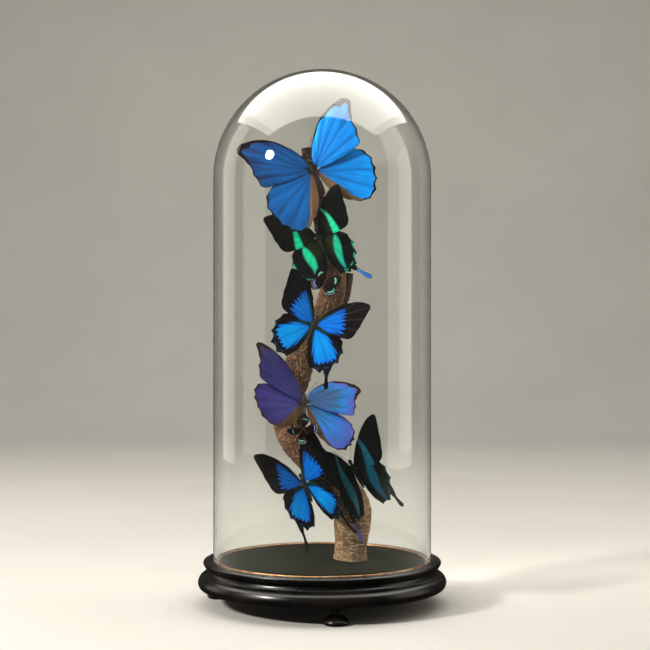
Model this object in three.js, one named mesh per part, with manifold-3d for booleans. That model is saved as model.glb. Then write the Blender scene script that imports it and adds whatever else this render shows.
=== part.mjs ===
// Butterflies pinned along an upright branch, under a tall glass dome on a turned black base.
// Millimetres, +Z up. The origin is at the middle of the base, on the surface it stands on.
// The front is -Y, and +X is to the right when the dome is seen from the front.
import * as THREE from 'three';
import { mergeVertices } from 'three/addons/utils/BufferGeometryUtils.js';
import Module from 'manifold-3d';

const wasm = await Module();
wasm.setup();

// ---- Driving dimensions -------------------------------------------------------------------

const GAP = 0.35;                   // left between pieces that touch

const DOME_RADIUS = 110;            // outside of the glass
const DOME_WALL = 3;
const DOME_FOOT_Z = 40.2;           // where the glass stands in its groove
const DOME_SHOULDER_Z = 428.6;      // the straight wall ends and the half sphere begins
const DOME_SIDES = 32;
const DOME_ARC_STEPS = 7;

const FLOOR_Z = 44.5;               // top of the disc that the branch stands on
const BASE_BOTTOM_Z = 16.6;
const BASE_SIDES = 32;
const RIM_TOP_Z = 44.6;
const GROOVE_FLOOR_Z = DOME_FOOT_Z - GAP;
const SHELF_Z = 42.6;               // the gilt ring lies on this step

const RING_OUTER = 106.2;
const RING_WIDTH = 2;
const RING_HEIGHT = 2.4;

const FOOT_HEIGHT = BASE_BOTTOM_Z - GAP;
const FOOT_CIRCLE = 109;            // radius of the circle that the feet stand on
const FOOT_ANGLES = { front: -83, back_left: 166, back_right: 41 };
const FOOT_SIDES = 8;

const BRANCH_SIDES = 10;
const BRANCH_RINGS = 26;

const PIN_RADIUS = 0.45;
const PIN_HOLE_CLEARANCE = 0.4;
const PIN_DEPTH = 7;                // how far a pin goes into the wood
const PIN_ABOVE = 4;                // how far it stands out of the insect's back
const BODY_SIDES = 6;               // round an insect's trunk
const WING_THICKNESS = 0.6;
const LEG_RADIUS = 0.34;
const LEG_PLACES = [0.7, -0.1, -0.9]; // along the thorax, in body half-thicknesses
const FEELER_RADIUS = 0.3;

// ---- Materials ----------------------------------------------------------------------------

function material(color, roughness, metalness = 0, extra = {}) {
  return new THREE.MeshStandardMaterial({ color, roughness, metalness, ...extra });
}

const glass = material('#dfe8dc', 0.03, 0, { transparent: true, opacity: 0.2 });
const ebonised = material('#14110e', 0.32);
const copperGilt = material('#8a5f3c', 0.3, 1);
const bark = material('#7a5a3c', 0.9);
const morphoBlue = material('#1a6fc4', 0.4);
const morphoViolet = material('#4a4a9c', 0.45);
const swallowtailBlue = material('#1f6fd0', 0.45);
const emeraldBlack = material('#0f3a2c', 0.5);
const mothBrown = material('#2c211c', 0.6);

// ---- Helpers ------------------------------------------------------------------------------

const radians = THREE.MathUtils.degToRad;

// A closed solid from a three.js geometry: its shared corners joined, its flat slivers dropped.
function solid(geometry) {
  const bare = geometry.clone();
  bare.deleteAttribute('normal');
  bare.deleteAttribute('uv');
  const joined = mergeVertices(bare, 1e-4);
  const corners = Array.from(joined.index.array);
  const faces = [];
  for (let i = 0; i < corners.length; i += 3) {
    const [a, b, c] = corners.slice(i, i + 3);
    if (a !== b && b !== c && c !== a) {
      faces.push(a, b, c);
    }
  }
  return new wasm.Manifold(new wasm.Mesh({
    numProp: 3,
    vertProperties: Float32Array.from(joined.attributes.position.array),
    triVerts: Uint32Array.from(faces),
  }));
}

function namedMesh(name, body, surface) {
  const cut = body.getMesh();
  const geometry = new THREE.BufferGeometry();
  geometry.setAttribute('position', new THREE.BufferAttribute(cut.vertProperties, 3));
  geometry.setIndex(new THREE.BufferAttribute(cut.triVerts, 1));
  geometry.computeVertexNormals();
  const mesh = new THREE.Mesh(geometry, surface);
  mesh.name = name;
  return mesh;
}

// A turned piece from its half section, [radius, height] from the bottom round to the top.
function turned(profile, sides) {
  const points = profile.map(([radius, height]) => new THREE.Vector2(radius, height));
  return new THREE.LatheGeometry(points, sides).rotateX(Math.PI / 2);
}

// A straight rod from one point to another.
function rod(start, end, startRadius, endRadius, sides) {
  const along = end.clone().sub(start);
  const shape = new THREE.CylinderGeometry(endRadius, startRadius, along.length(), sides);
  const turn = new THREE.Quaternion().setFromUnitVectors(
    new THREE.Vector3(0, 1, 0), along.clone().normalize());
  shape.applyQuaternion(turn);
  const middle = start.clone().add(end).multiplyScalar(0.5);
  return shape.translate(middle.x, middle.y, middle.z);
}

// The half sphere's round in section, as [radius, height], from one rise to another.
function domeArc(radius, fromDegrees, toDegrees) {
  return Array.from({ length: DOME_ARC_STEPS + 1 }, (_, i) => {
    const rise = radians(fromDegrees + (toDegrees - fromDegrees) * i / DOME_ARC_STEPS);
    return [Math.max(0, radius * Math.cos(rise)), DOME_SHOULDER_Z + radius * Math.sin(rise)];
  });
}

// ---- Glass dome, base, ring and feet --------------------------------------------------------

function glassDome() {
  const inner = DOME_RADIUS - DOME_WALL;
  const section = [
    [inner, DOME_FOOT_Z],
    [DOME_RADIUS, DOME_FOOT_Z],
    ...domeArc(DOME_RADIUS, 0, 90),
    ...domeArc(inner, 90, 0),
    [inner, DOME_FOOT_Z],
  ];
  return solid(turned(section, DOME_SIDES));
}

function base() {
  const ringInner = RING_OUTER - RING_WIDTH;
  const glassInner = DOME_RADIUS - DOME_WALL;
  const section = [
    [0, BASE_BOTTOM_Z],
    [120.8, BASE_BOTTOM_Z],
    [123.8, 18.2],                  // the big bead
    [125.3, 22.4],
    [123.6, 27.8],
    [120.6, 30.2],
    [119.8, 31.4],                  // fillet and cove
    [116.6, 33.8],
    [115.8, 36.4],
    [117.2, 38.8],
    [119.4, 40.2],                  // half-round edge of the rim
    [120, 42.2],
    [118.8, 44],
    [116.6, RIM_TOP_Z],
    [DOME_RADIUS + GAP, RIM_TOP_Z],
    [DOME_RADIUS + GAP, GROOVE_FLOOR_Z],
    [glassInner - GAP, GROOVE_FLOOR_Z],
    [glassInner - GAP, SHELF_Z],
    [ringInner - GAP, SHELF_Z],
    [ringInner - GAP, FLOOR_Z],
    [0, FLOOR_Z],
  ];
  return solid(turned(section, BASE_SIDES));
}

function giltRing() {
  const bottom = SHELF_Z + GAP;
  const top = bottom + RING_HEIGHT;
  const inner = RING_OUTER - RING_WIDTH;
  const section = [
    [inner, bottom],
    [RING_OUTER, bottom],
    [RING_OUTER, top - 0.4],
    [inner + 0.3, top],
    [inner, bottom],
  ];
  return solid(turned(section, BASE_SIDES));
}

function foot(angleDegrees) {
  const section = [
    [0, 0],
    [11.4, 0],
    [12.6, 1.6],
    [12.2, 3.8],
    [9.6, 6.6],
    [6.4, 9],
    [5.2, 11.4],
    [5.8, 13.6],
    [8, 15],
    [8, FOOT_HEIGHT],
    [0, FOOT_HEIGHT],
  ];
  const angle = radians(angleDegrees);
  const shape = turned(section, FOOT_SIDES);
  return solid(shape.translate(FOOT_CIRCLE * Math.cos(angle), FOOT_CIRCLE * Math.sin(angle), 0));
}

// ---- Branch -----------------------------------------------------------------------------------

// Middle line of the branch with its half thickness: x, y, z, radius. It bows out to the right
// above its sawn foot, crosses to the left, swings back right and thins to a broken tip.
const BRANCH_LINE = [
  [28, -6, FLOOR_Z + GAP, 16.4],
  [29, -6, 58, 16.2],
  [30.5, -7, 80, 19.5],
  [30, -8, 101, 18.5],
  [14, -9, 121, 17],
  [-6, -9, 142, 16.5],
  [-25, -8, 163, 16],
  [-34, -4, 184, 15.5],
  [-33, 3, 206, 14.5],
  [-27, 11, 228, 15],
  [-20, 13, 250, 15.5],
  [-9, 11, 272, 14.5],
  [5, 7, 298, 14],
  [11, 5, 320, 13.8],
  [12, 5, 342, 12.5],
  [9, 5, 362, 11],
  [2, 4, 384, 9.5],
  [-5, 1, 408, 8],
  [-11, -2, 434, 6.8],
  [-15, -4, 452, 6],
  [-16.5, -5, 460, 4.6],
];

// A dead side shoot behind the upper bend.
const SHOOT_LINE = [
  [9, 9, 292, 5],
  [19, 13, 303, 5.6],
  [26, 15, 318, 5],
  [29, 15, 334, 3.6],
];

// Bark: lengthwise ridges that wander round the stem, as a share of its radius.
function barkRelief(angle, along) {
  return 0.055 * Math.sin(3 * angle + 9 * along)
    + 0.04 * Math.sin(5 * angle - 23 * along + 1)
    + 0.025 * Math.sin(2 * angle + 61 * along);
}

// A stem: a closed cylinder whose rings are carried along the line, square to it.
function stem(line, sides, rings) {
  const path = new THREE.CatmullRomCurve3(
    line.map(([x, y, z]) => new THREE.Vector3(x, y, z)), false, 'centripetal');
  const shape = new THREE.CylinderGeometry(1, 1, 1, sides, rings);
  const place = shape.attributes.position;
  const depthAxis = new THREE.Vector3(0, 1, 0);
  for (let i = 0; i < place.count; i += 1) {
    const along = THREE.MathUtils.clamp(place.getY(i) + 0.5, 0, 1);
    const knot = along * (line.length - 1);
    const low = Math.min(Math.floor(knot), line.length - 2);
    const radius = THREE.MathUtils.lerp(line[low][3], line[low + 1][3], knot - low);
    const middle = path.getPoint(along);
    const ahead = along === 0 ? new THREE.Vector3(0, 0, 1) : path.getTangent(along);
    const side = depthAxis.clone().cross(ahead).normalize();
    const back = ahead.clone().cross(side);
    const angle = Math.atan2(place.getZ(i), place.getX(i));
    const reach = Math.hypot(place.getX(i), place.getZ(i)) * radius
      * (1 + barkRelief(angle, along));
    const point = middle
      .addScaledVector(side, reach * Math.cos(angle))
      .addScaledVector(back, -reach * Math.sin(angle));
    place.setXYZ(i, point.x, point.y, point.z);
  }
  return solid(shape);
}

// ---- Butterflies ------------------------------------------------------------------------------

// Wing outlines, as shares of the forewing's length. The hinge is at 0, 0. The first number runs
// out from the body (on a forewing, towards the tip) and the second towards the tail end.
const MORPHO_FORE = [
  [0, 0], [0.14, -0.12], [0.36, -0.19], [0.58, -0.212], [0.8, -0.155], [1, 0],
  [0.94, 0.08], [0.78, 0.165], [0.67, 0.285], [0.52, 0.39], [0.41, 0.335], [0.19, 0.17],
];
const MORPHO_HIND = [
  [0, 0], [0.2, -0.04], [0.45, -0.065], [0.63, 0], [0.7, 0.12], [0.69, 0.3], [0.62, 0.47],
  [0.52, 0.6], [0.38, 0.63], [0.2, 0.53], [0.08, 0.38], [0.02, 0.2],
];
const SWALLOWTAIL_FORE = [
  [0, 0], [0.13, -0.08], [0.37, -0.15], [0.67, -0.16], [0.88, -0.1], [1, 0], [0.97, 0.06],
  [0.81, 0.2], [0.64, 0.35], [0.45, 0.455], [0.3, 0.38], [0.12, 0.2],
];
const SWALLOWTAIL_HIND_FRONT = [
  [0, 0], [0.2, -0.01], [0.42, 0.03], [0.59, 0.15], [0.64, 0.34], [0.6, 0.52], [0.54, 0.64],
];
const SWALLOWTAIL_HIND_REAR = [
  [0.43, 0.73], [0.3, 0.76], [0.18, 0.72], [0.07, 0.56], [0, 0.28],
];
const TAIL_ROOT = [0.49, 0.69];
const TAIL_NECK = 0.028;            // half widths of the tail, as shares of the forewing
const TAIL_BLADE = 0.042;
const SMALL_FORE = [
  [0, 0], [0.3, -0.16], [0.7, -0.2], [1, -0.02], [0.95, 0.16], [0.75, 0.4], [0.5, 0.5], [0.2, 0.24],
];
const SMALL_HIND = [
  [0, 0], [0.3, -0.04], [0.7, 0.02], [0.88, 0.3], [0.8, 0.62], [0.5, 0.82], [0.18, 0.6], [0, 0.2],
];

// Each kind: its outlines, how many straight edges each point of them gets, and its body's
// length and thickness as shares of the forewing. A swallowtail's hind wing gets its own tail.
const MORPHO = {
  fore: MORPHO_FORE, foreEdges: 2, hind: () => MORPHO_HIND, hindEdges: 2, body: 0.5, girth: 0.044,
};
const SWALLOWTAIL = {
  fore: SWALLOWTAIL_FORE, foreEdges: 2, hind: tailedHind, hindEdges: 1, body: 0.52, girth: 0.05,
};
const SMALL = {
  fore: SMALL_FORE, foreEdges: 1, hind: () => SMALL_HIND, hindEdges: 1, body: 0.8, girth: 0.095,
};

// Each specimen: the middle of its thorax; heading, the way its head points in the front view
// (degrees, 90 is straight up); pitch, how far the head leans out to the front; the forewing's
// length; and for each wing how far it is raised off the body's own plane, swept forward and
// twisted about its own length. A swallowtail's tail has an angle, out from straight back, and a
// length as a share of the forewing. One tail is broken off.
const SPECIMENS = [
  {
    name: 'blue_morpho_top', kind: MORPHO, surface: morphoBlue, thorax: [-8.3, -25, 434],
    heading: 115.5, pitch: -3, length: 79,
    left: { fore: [5, 42, 0], hind: [3, 1, 1] },
    right: { fore: [4, 40, 4], hind: [-4, 3, 4] },
  },
  {
    name: 'emerald_swallowtail', kind: SWALLOWTAIL, surface: emeraldBlack,
    thorax: [-3.4, -14.5, 369.3], heading: 111.5, pitch: -6, length: 57,
    left: { fore: [6, 40, 0], hind: [3, -4, 5], tail: [18, 0.3] },
    right: { fore: [35, 41, -2], hind: [33, -8, -5], tail: [47, 0.36] },
  },
  {
    name: 'blue_swallowtail_middle', kind: SWALLOWTAIL, surface: swallowtailBlue,
    thorax: [-7.9, -31, 282], heading: 67, pitch: -17, length: 58,
    left: { fore: [21, 42, 2], hind: [16, 1, 2] },
    right: { fore: [4, 42, 1], hind: [2, 0, -3], tail: [20, 0.28] },
  },
  {
    name: 'violet_morpho', kind: MORPHO, surface: morphoViolet, thorax: [-17.9, -28, 202.7],
    heading: 86, pitch: -48, length: 78.4,
    left: { fore: [33, 40, 0], hind: [31, 1, 4] },
    right: { fore: [-23, 41, 4], hind: [-25, 2, 6] },
  },
  {
    name: 'blue_swallowtail_low', kind: SWALLOWTAIL, surface: swallowtailBlue,
    thorax: [-18.2, -27, 124], heading: 114.5, pitch: -5, length: 59.6,
    left: { fore: [42, 47, 7], hind: [49, 3, 6], tail: [15, 0.39] },
    right: { fore: [44, 48, -12], hind: [50, -6, -8], tail: [21, 0.37] },
  },
  {
    name: 'teal_swallowtail', kind: SWALLOWTAIL, surface: emeraldBlack,
    thorax: [31.7, -26, 137.6], heading: 118.5, pitch: -3, length: 61.6,
    left: { fore: [63, 28, -8], hind: [56, 0, -8], tail: [5, 0.36] },
    right: { fore: [29, 38, 22], hind: [44, 9, 10], tail: [14, 0.25] },
  },
  {
    name: 'small_blue_upper', kind: SMALL, surface: mothBrown, thorax: [3.6, -30, 324],
    heading: 65, pitch: -8, length: 15.5,
    left: { fore: [14, 38, 0], hind: [12, 0, 0] },
    right: { fore: [14, 38, 0], hind: [12, 0, 0] },
  },
  {
    name: 'small_blue_lower', kind: SMALL, surface: mothBrown, thorax: [-18.5, -53, 179.5],
    heading: 135, pitch: -10, length: 15.5,
    left: { fore: [14, 38, 0], hind: [12, 0, 0] },
    right: { fore: [14, 38, 0], hind: [12, 0, 0] },
  },
];

// The body's own axes in the world: x to its right, y to its head, z out of its back.
function bodyAxes(specimen) {
  const heading = radians(specimen.heading);
  const pitch = radians(specimen.pitch);
  const up = new THREE.Vector3(Math.cos(heading), 0, Math.sin(heading));
  const front = new THREE.Vector3(0, -1, 0);
  const head = up.clone().multiplyScalar(Math.cos(pitch)).addScaledVector(front, Math.sin(pitch));
  const back = front.clone().multiplyScalar(Math.cos(pitch)).addScaledVector(up, -Math.sin(pitch));
  return new THREE.Matrix4()
    .makeBasis(head.clone().cross(back), head, back)
    .setPosition(new THREE.Vector3(...specimen.thorax));
}

// A hind wing's outline with its tail: a narrow neck that widens to a rounded blade.
function tailedHind(tail) {
  if (!tail) {
    return [...SWALLOWTAIL_HIND_FRONT, ...SWALLOWTAIL_HIND_REAR];
  }
  const [angle, length] = tail;
  const out = Math.sin(radians(angle));
  const rear = Math.cos(radians(angle));
  const sides = [
    [TAIL_NECK, 0.35], [TAIL_BLADE, 0.8], [0, 1], [-TAIL_BLADE, 0.8], [-TAIL_NECK, 0.35],
  ];
  const edge = sides.map(([across, along]) => [
    TAIL_ROOT[0] + across * rear + along * length * out,
    TAIL_ROOT[1] - across * out + along * length * rear,
  ]);
  return [...SWALLOWTAIL_HIND_FRONT, ...edge, ...SWALLOWTAIL_HIND_REAR];
}

// One wing as a thin plate in the body's axes.
function wing(outline, length, edges, side, foreAft, [raise, sweep, twist]) {
  const curve = new THREE.CatmullRomCurve3(
    outline.map(([out, rear]) => new THREE.Vector3(out * length, rear * length, 0)), true);
  const loop = curve.getPoints(edges * outline.length);
  const shape = new THREE.Shape(loop.slice(0, -1).map((p) => new THREE.Vector2(p.x, p.y)));
  const plate = new THREE.ExtrudeGeometry(shape, { depth: WING_THICKNESS, bevelEnabled: false });
  plate.translate(0, 0, -WING_THICKNESS / 2);
  const lift = radians(raise);
  const swing = radians(sweep);
  const roll = radians(twist);
  const forward = new THREE.Vector3(0, 1, 0);
  const outward = new THREE.Vector3(side * Math.cos(lift), 0, Math.sin(lift));
  const above = new THREE.Vector3(-side * Math.sin(lift), 0, Math.cos(lift));
  const span = outward.clone().multiplyScalar(Math.cos(swing))
    .addScaledVector(forward, Math.sin(swing));
  const level = outward.clone().multiplyScalar(Math.sin(swing))
    .addScaledVector(forward, -Math.cos(swing));
  const chord = level.multiplyScalar(Math.cos(roll)).addScaledVector(above, Math.sin(roll));
  const place = new THREE.Matrix4()
    .makeBasis(span, chord, span.clone().cross(chord))
    .setPosition(side * 0.028 * length, foreAft * 0.03 * length, 0);
  return solid(plate.applyMatrix4(place));
}

// Head, thorax and abdomen as one turned form along the body's y axis.
function trunk(length, girth) {
  const section = [
    [0, -0.66], [0.5, -0.54], [0.72, -0.32], [0.6, -0.15], [1, 0.02], [0.5, 0.19], [0.62, 0.26],
    [0, 0.34],
  ];
  const points = section.map(([r, y]) => new THREE.Vector2(r * girth, y * length));
  return solid(new THREE.LatheGeometry(points, BODY_SIDES));
}

// Three pairs of legs, folded back under the thorax.
function legs(girth) {
  return LEG_PLACES.flatMap((y) => [-1, 1].map((side) => solid(rod(
    new THREE.Vector3(side * 0.3 * girth, y * girth, -0.5 * girth),
    new THREE.Vector3(side * 1.3 * girth, (y - 0.5) * girth, -2.4 * girth),
    LEG_RADIUS, LEG_RADIUS, 3))));
}

// Two antennae that thicken to a club.
function feelers(length, girth) {
  return [-1, 1].map((side) => solid(rod(
    new THREE.Vector3(side * 0.25 * girth, 0.28 * length, 0.1 * girth),
    new THREE.Vector3(side * 0.3 * length, 0.78 * length, 0.5 * girth),
    FEELER_RADIUS, 2 * FEELER_RADIUS, 3)));
}

// Where the pin comes out of the back, and where its point stops, in world millimetres.
function pinLine(specimen) {
  const axes = bodyAxes(specimen);
  const thorax = new THREE.Vector3(...specimen.thorax);
  const wood = nearestWood(thorax);
  const inward = wood.middle.clone().sub(thorax).normalize();
  const point = wood.middle.clone().addScaledVector(inward, PIN_DEPTH - wood.radius);
  const above = new THREE.Vector3().setFromMatrixColumn(axes, 2);
  const topOfBack = thorax.clone().addScaledVector(above, 0.5 * specimen.kind.girth * specimen.length);
  return { top: topOfBack.addScaledVector(inward, -PIN_ABOVE), point };
}

// The nearest place on the branch's middle line.
function nearestWood(from) {
  const path = BRANCH_LINE.map(([x, y, z]) => new THREE.Vector3(x, y, z));
  let best = null;
  for (let i = 0; i + 1 < path.length; i += 1) {
    const span = new THREE.Line3(path[i], path[i + 1]);
    const middle = span.closestPointToPoint(from, true, new THREE.Vector3());
    const share = span.closestPointToPointParameter(from, true);
    const radius = THREE.MathUtils.lerp(BRANCH_LINE[i][3], BRANCH_LINE[i + 1][3], share);
    if (best === null || middle.distanceTo(from) < best.middle.distanceTo(from)) {
      best = { middle, radius };
    }
  }
  return best;
}

function butterfly(specimen) {
  const { kind, length } = specimen;
  const girth = kind.girth * length;
  const axes = bodyAxes(specimen);
  const pieces = [
    trunk(kind.body * length, girth),
    ...legs(girth),
    ...feelers(kind.body * length, girth),
  ];
  for (const [side, wings] of [[-1, specimen.left], [1, specimen.right]]) {
    pieces.push(wing(kind.fore, length, kind.foreEdges, side, 1, wings.fore));
    pieces.push(wing(kind.hind(wings.tail), length, kind.hindEdges, side, -1, wings.hind));
  }
  const whole = pieces.reduce((sum, piece) => sum.add(piece)).transform(axes.elements);
  const line = pinLine(specimen);
  return whole.add(solid(rod(line.top, line.point, PIN_RADIUS, PIN_RADIUS, 5)));
}

function branch() {
  const bores = SPECIMENS.map((specimen) => {
    const line = pinLine(specimen);
    const inward = line.point.clone().sub(line.top).normalize();
    const bottom = line.point.clone().addScaledVector(inward, PIN_HOLE_CLEARANCE);
    const width = PIN_RADIUS + PIN_HOLE_CLEARANCE;
    return solid(rod(line.top, bottom, width, width, 6));
  });
  const wood = stem(BRANCH_LINE, BRANCH_SIDES, BRANCH_RINGS).add(stem(SHOOT_LINE, 6, 4));
  return bores.reduce((left, bore) => left.subtract(bore), wood);
}

// ---- The whole object ---------------------------------------------------------------------------

const object = new THREE.Group();
object.add(namedMesh('base_turned', base(), ebonised));
for (const [name, angle] of Object.entries(FOOT_ANGLES)) {
  object.add(namedMesh(`foot_${name}`, foot(angle), ebonised));
}
object.add(namedMesh('gilt_ring', giltRing(), copperGilt));
object.add(namedMesh('glass_dome', glassDome(), glass));
object.add(namedMesh('branch', branch(), bark));
for (const specimen of SPECIMENS) {
  object.add(namedMesh(specimen.name, butterfly(specimen), specimen.surface));
}

export default object;
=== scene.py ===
"""Dried butterflies pinned along a branch, under a glass dome on a turned black base.

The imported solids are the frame. This script lays the looks over them: the smooth turned base, the
blown glass, the bark, and the insects' wings, bodies and pins. Shapes are worked out in
millimetres in the frame of the solids and go into the meshes in metres. The front is -Y.
"""
import functools
import math

import bmesh
import bpy
import mathutils
import numpy as np
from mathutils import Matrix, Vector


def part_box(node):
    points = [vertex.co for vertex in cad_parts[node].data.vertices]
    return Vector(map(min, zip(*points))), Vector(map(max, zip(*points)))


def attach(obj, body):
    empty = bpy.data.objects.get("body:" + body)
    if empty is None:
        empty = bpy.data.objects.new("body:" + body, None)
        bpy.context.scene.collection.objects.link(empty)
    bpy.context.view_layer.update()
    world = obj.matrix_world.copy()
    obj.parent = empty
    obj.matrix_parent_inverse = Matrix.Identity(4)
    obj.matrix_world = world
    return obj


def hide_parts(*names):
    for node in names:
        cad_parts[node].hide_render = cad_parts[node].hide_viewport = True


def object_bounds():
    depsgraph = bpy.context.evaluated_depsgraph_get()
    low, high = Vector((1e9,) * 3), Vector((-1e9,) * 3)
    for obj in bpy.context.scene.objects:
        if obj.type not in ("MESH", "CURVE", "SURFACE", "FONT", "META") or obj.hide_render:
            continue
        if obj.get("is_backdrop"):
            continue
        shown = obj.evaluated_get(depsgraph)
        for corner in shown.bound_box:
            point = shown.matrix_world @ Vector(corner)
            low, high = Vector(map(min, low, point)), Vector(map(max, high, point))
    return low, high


bl_info = {
    "name": "Butterflies in a glass dome",
    "version": (1, 0, 0),
    "blender": (4, 5, 0),
    "location": "View3D > Sidebar > Glass dome",
    "description": "Builds the looks of a glass dome of pinned butterflies around its solids",
    "category": "Object",
}

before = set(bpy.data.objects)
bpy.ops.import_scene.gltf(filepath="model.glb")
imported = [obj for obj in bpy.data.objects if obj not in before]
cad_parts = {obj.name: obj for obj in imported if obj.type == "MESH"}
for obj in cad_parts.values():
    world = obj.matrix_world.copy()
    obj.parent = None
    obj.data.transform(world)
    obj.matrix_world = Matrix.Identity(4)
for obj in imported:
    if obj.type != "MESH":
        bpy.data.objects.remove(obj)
CAD_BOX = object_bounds()
MM = 0.001


def box_mm(node_name):
    """A node's lowest and highest corners, in millimetres."""
    low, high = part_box(node_name)
    return np.array(low) / MM, np.array(high) / MM


# ---- Sizes, millimetres --------------------------------------------------------------------

DOME_LOW, DOME_HIGH = box_mm("glass_dome")
DOME_RADIUS = DOME_HIGH[0]
DOME_FOOT_Z = DOME_LOW[2]
DOME_LIP = 1.5          # height of the ground round of its foot
DOME_SHOULDER_Z = DOME_HIGH[2] - DOME_RADIUS

(_, _, BASE_BOTTOM_Z), BASE_HIGH = box_mm("base_turned")
FLOOR_Z = 44.5
GROOVE_FLOOR_Z = DOME_FOOT_Z - 0.35
GROOVE_INNER, GROOVE_OUTER = 106.65, 110.35     # half widths of the groove for the glass
SHELF_Z = 42.6
DISC_RADIUS = 103.85
EASED = 0.3             # how far its edge is rounded off
FOOT_NODES = ("foot_front", "foot_back_left", "foot_back_right")
RING_OUTER = box_mm("gilt_ring")[1][0]
RING_WIDTH = 2.0
RING_DENT, RING_DENT_SIZE = 0.12, 16    # how deep and how long the dents of its leaf are
WAVE_SIZE = 70          # length of the waves in the glass

# The branch's middle line: x, y, z and half thickness, from its sawn foot to its broken tip.
BRANCH_LINE = np.array([
    (28, -6, 44.85, 16.4), (29, -6, 58, 16.2), (30.5, -7, 80, 19.5), (30, -8, 101, 18.5),
    (14, -9, 121, 17), (-6, -9, 142, 16.5), (-25, -8, 163, 16), (-34, -4, 184, 15.5),
    (-33, 3, 206, 14.5), (-27, 11, 228, 15), (-20, 13, 250, 15.5), (-9, 11, 272, 14.5),
    (5, 7, 298, 14), (11, 5, 320, 13.8), (12, 5, 342, 12.5), (9, 5, 362, 11),
    (2, 4, 384, 9.5), (-5, 1, 408, 8), (-11, -2, 434, 6.8), (-15, -4, 452, 6),
    (-16.5, -5, 460, 4.6),
])
SHOOT_LINE = np.array([
    (9, 9, 292, 5), (19, 13, 303, 6), (25.2, 15, 318, 5.6), (28, 15, 334, 4.4),
])
SHOOT_LIKE = 0.8        # its bark is that of the branch this share of the way up
BARK_FROM = 0.94        # the bark stands on this share of the half thickness
FULL_BARK = 9.0         # half thickness of the thinnest stem with bark of full depth

PIN_DEPTH = 7.0         # how far a pin goes into the wood
PIN_ABOVE = 4.0         # how far it stands out of the thorax
PIN_HEAD = 2.1          # its head's thickness over its shaft's
PIN_TIP = 0.05

# Seeds of the noise, and of the hairs of the first insect in each family.
RING_SEED, GLASS_SEED, BRANCH_SEED, SHOOT_SEED, SPIKE_SEED, WARP_SEED = 21, 5, 40, 60, 3, 7
MORPHO_SEED, SWALLOWTAIL_SEED, SMALL_SEED = 100, 200, 300

# ---- Wings ---------------------------------------------------------------------------------
# Outlines are shares of the forewing's length. The hinge is at 0, 0. The first number runs out
# from the body, the second towards the tail end. Marks are drawn in the same shares.

MORPHO_FORE = [
    (0, 0), (0.14, -0.12), (0.36, -0.19), (0.58, -0.212), (0.8, -0.155), (1, 0),
    (0.94, 0.08), (0.78, 0.165), (0.67, 0.285), (0.52, 0.39), (0.41, 0.34), (0.18, 0.185),
]
MORPHO_HIND = [
    (0, 0), (0.19, -0.065), (0.45, -0.075), (0.63, 0), (0.7, 0.12), (0.69, 0.3), (0.62, 0.47),
    (0.52, 0.6), (0.38, 0.63), (0.2, 0.53), (0.08, 0.38), (0.02, 0.2),
]
SWALLOWTAIL_FORE = [
    (0, 0), (0.13, -0.08), (0.37, -0.15), (0.67, -0.16), (0.88, -0.1), (1, 0), (0.97, 0.06),
    (0.81, 0.2), (0.64, 0.35), (0.45, 0.455), (0.3, 0.38), (0.12, 0.2),
]
SWALLOWTAIL_HIND = [
    (0, 0), (0.2, -0.045), (0.42, 0), (0.585, 0.13), (0.64, 0.34), (0.6, 0.52), (0.54, 0.64),
    (0.43, 0.73), (0.3, 0.76), (0.18, 0.72), (0.07, 0.56), (0, 0.28),
]
SMALL_FORE = [
    (0, 0), (0.3, -0.16), (0.7, -0.2), (1, -0.02), (0.95, 0.16), (0.75, 0.4), (0.5, 0.5),
    (0.2, 0.24),
]
SMALL_HIND = [
    (0, 0), (0.3, -0.04), (0.7, 0.02), (0.88, 0.3), (0.8, 0.62), (0.5, 0.82), (0.18, 0.6),
    (0, 0.2),
]
TAIL_ROOT = np.array([0.49, 0.69])
TAIL_START = -0.25      # share of its length that a tail reaches back under the wing
TAIL_NECK = 0.024
TAIL_BLADE = 0.042

# The bare tan fold along the inner edge of a morpho's hind wing.
MORPHO_FOLD = [
    (0.02, 0), (0.085, 0.135), (0.178, 0.31), (0.25, 0.49), (0.33, 0.58), (0.39, 0.64),
    (0.36, 0.8), (-0.1, 0.7), (-0.1, 0),
]
# The blue field of a blue swallowtail's wings.
BLUE_FORE_FIELD = [
    (-0.02, 0.03), (0.22, -0.035), (0.45, -0.085), (0.55, -0.07), (0.545, 0), (0.5, 0.09),
    (0.47, 0.18), (0.42, 0.26), (0.34, 0.335), (0.17, 0.25), (-0.02, 0.13),
]
BLUE_HIND_FIELD = [
    (0.03, 0.06), (0.14, 0.07), (0.27, 0.095), (0.46, 0.235), (0.545, 0.345), (0.505, 0.455),
    (0.4, 0.54), (0.29, 0.61), (0.2, 0.57), (0.045, 0.19),
]
# An emerald or teal band: its middle line with its half width.
BAND_FORE = [(0.44, -0.15, 0.02), (0.4, 0.02, 0.04), (0.31, 0.17, 0.065), (0.215, 0.3, 0.085)]
BAND_HIND = [
    (0.3, 0.05, 0.03), (0.29, 0.16, 0.075), (0.275, 0.3, 0.085), (0.27, 0.45, 0.06),
    (0.3, 0.62, 0.03),
]
# The pale bar across a small butterfly's wings.
BAR_FORE = [(0.55, -0.12, 0.02), (0.62, 0, 0.06), (0.6, 0.16, 0.065), (0.5, 0.3, 0.035)]
BAR_HIND = [(0.66, 0.16, 0.025), (0.64, 0.36, 0.06), (0.5, 0.52, 0.065), (0.34, 0.56, 0.03)]

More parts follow.
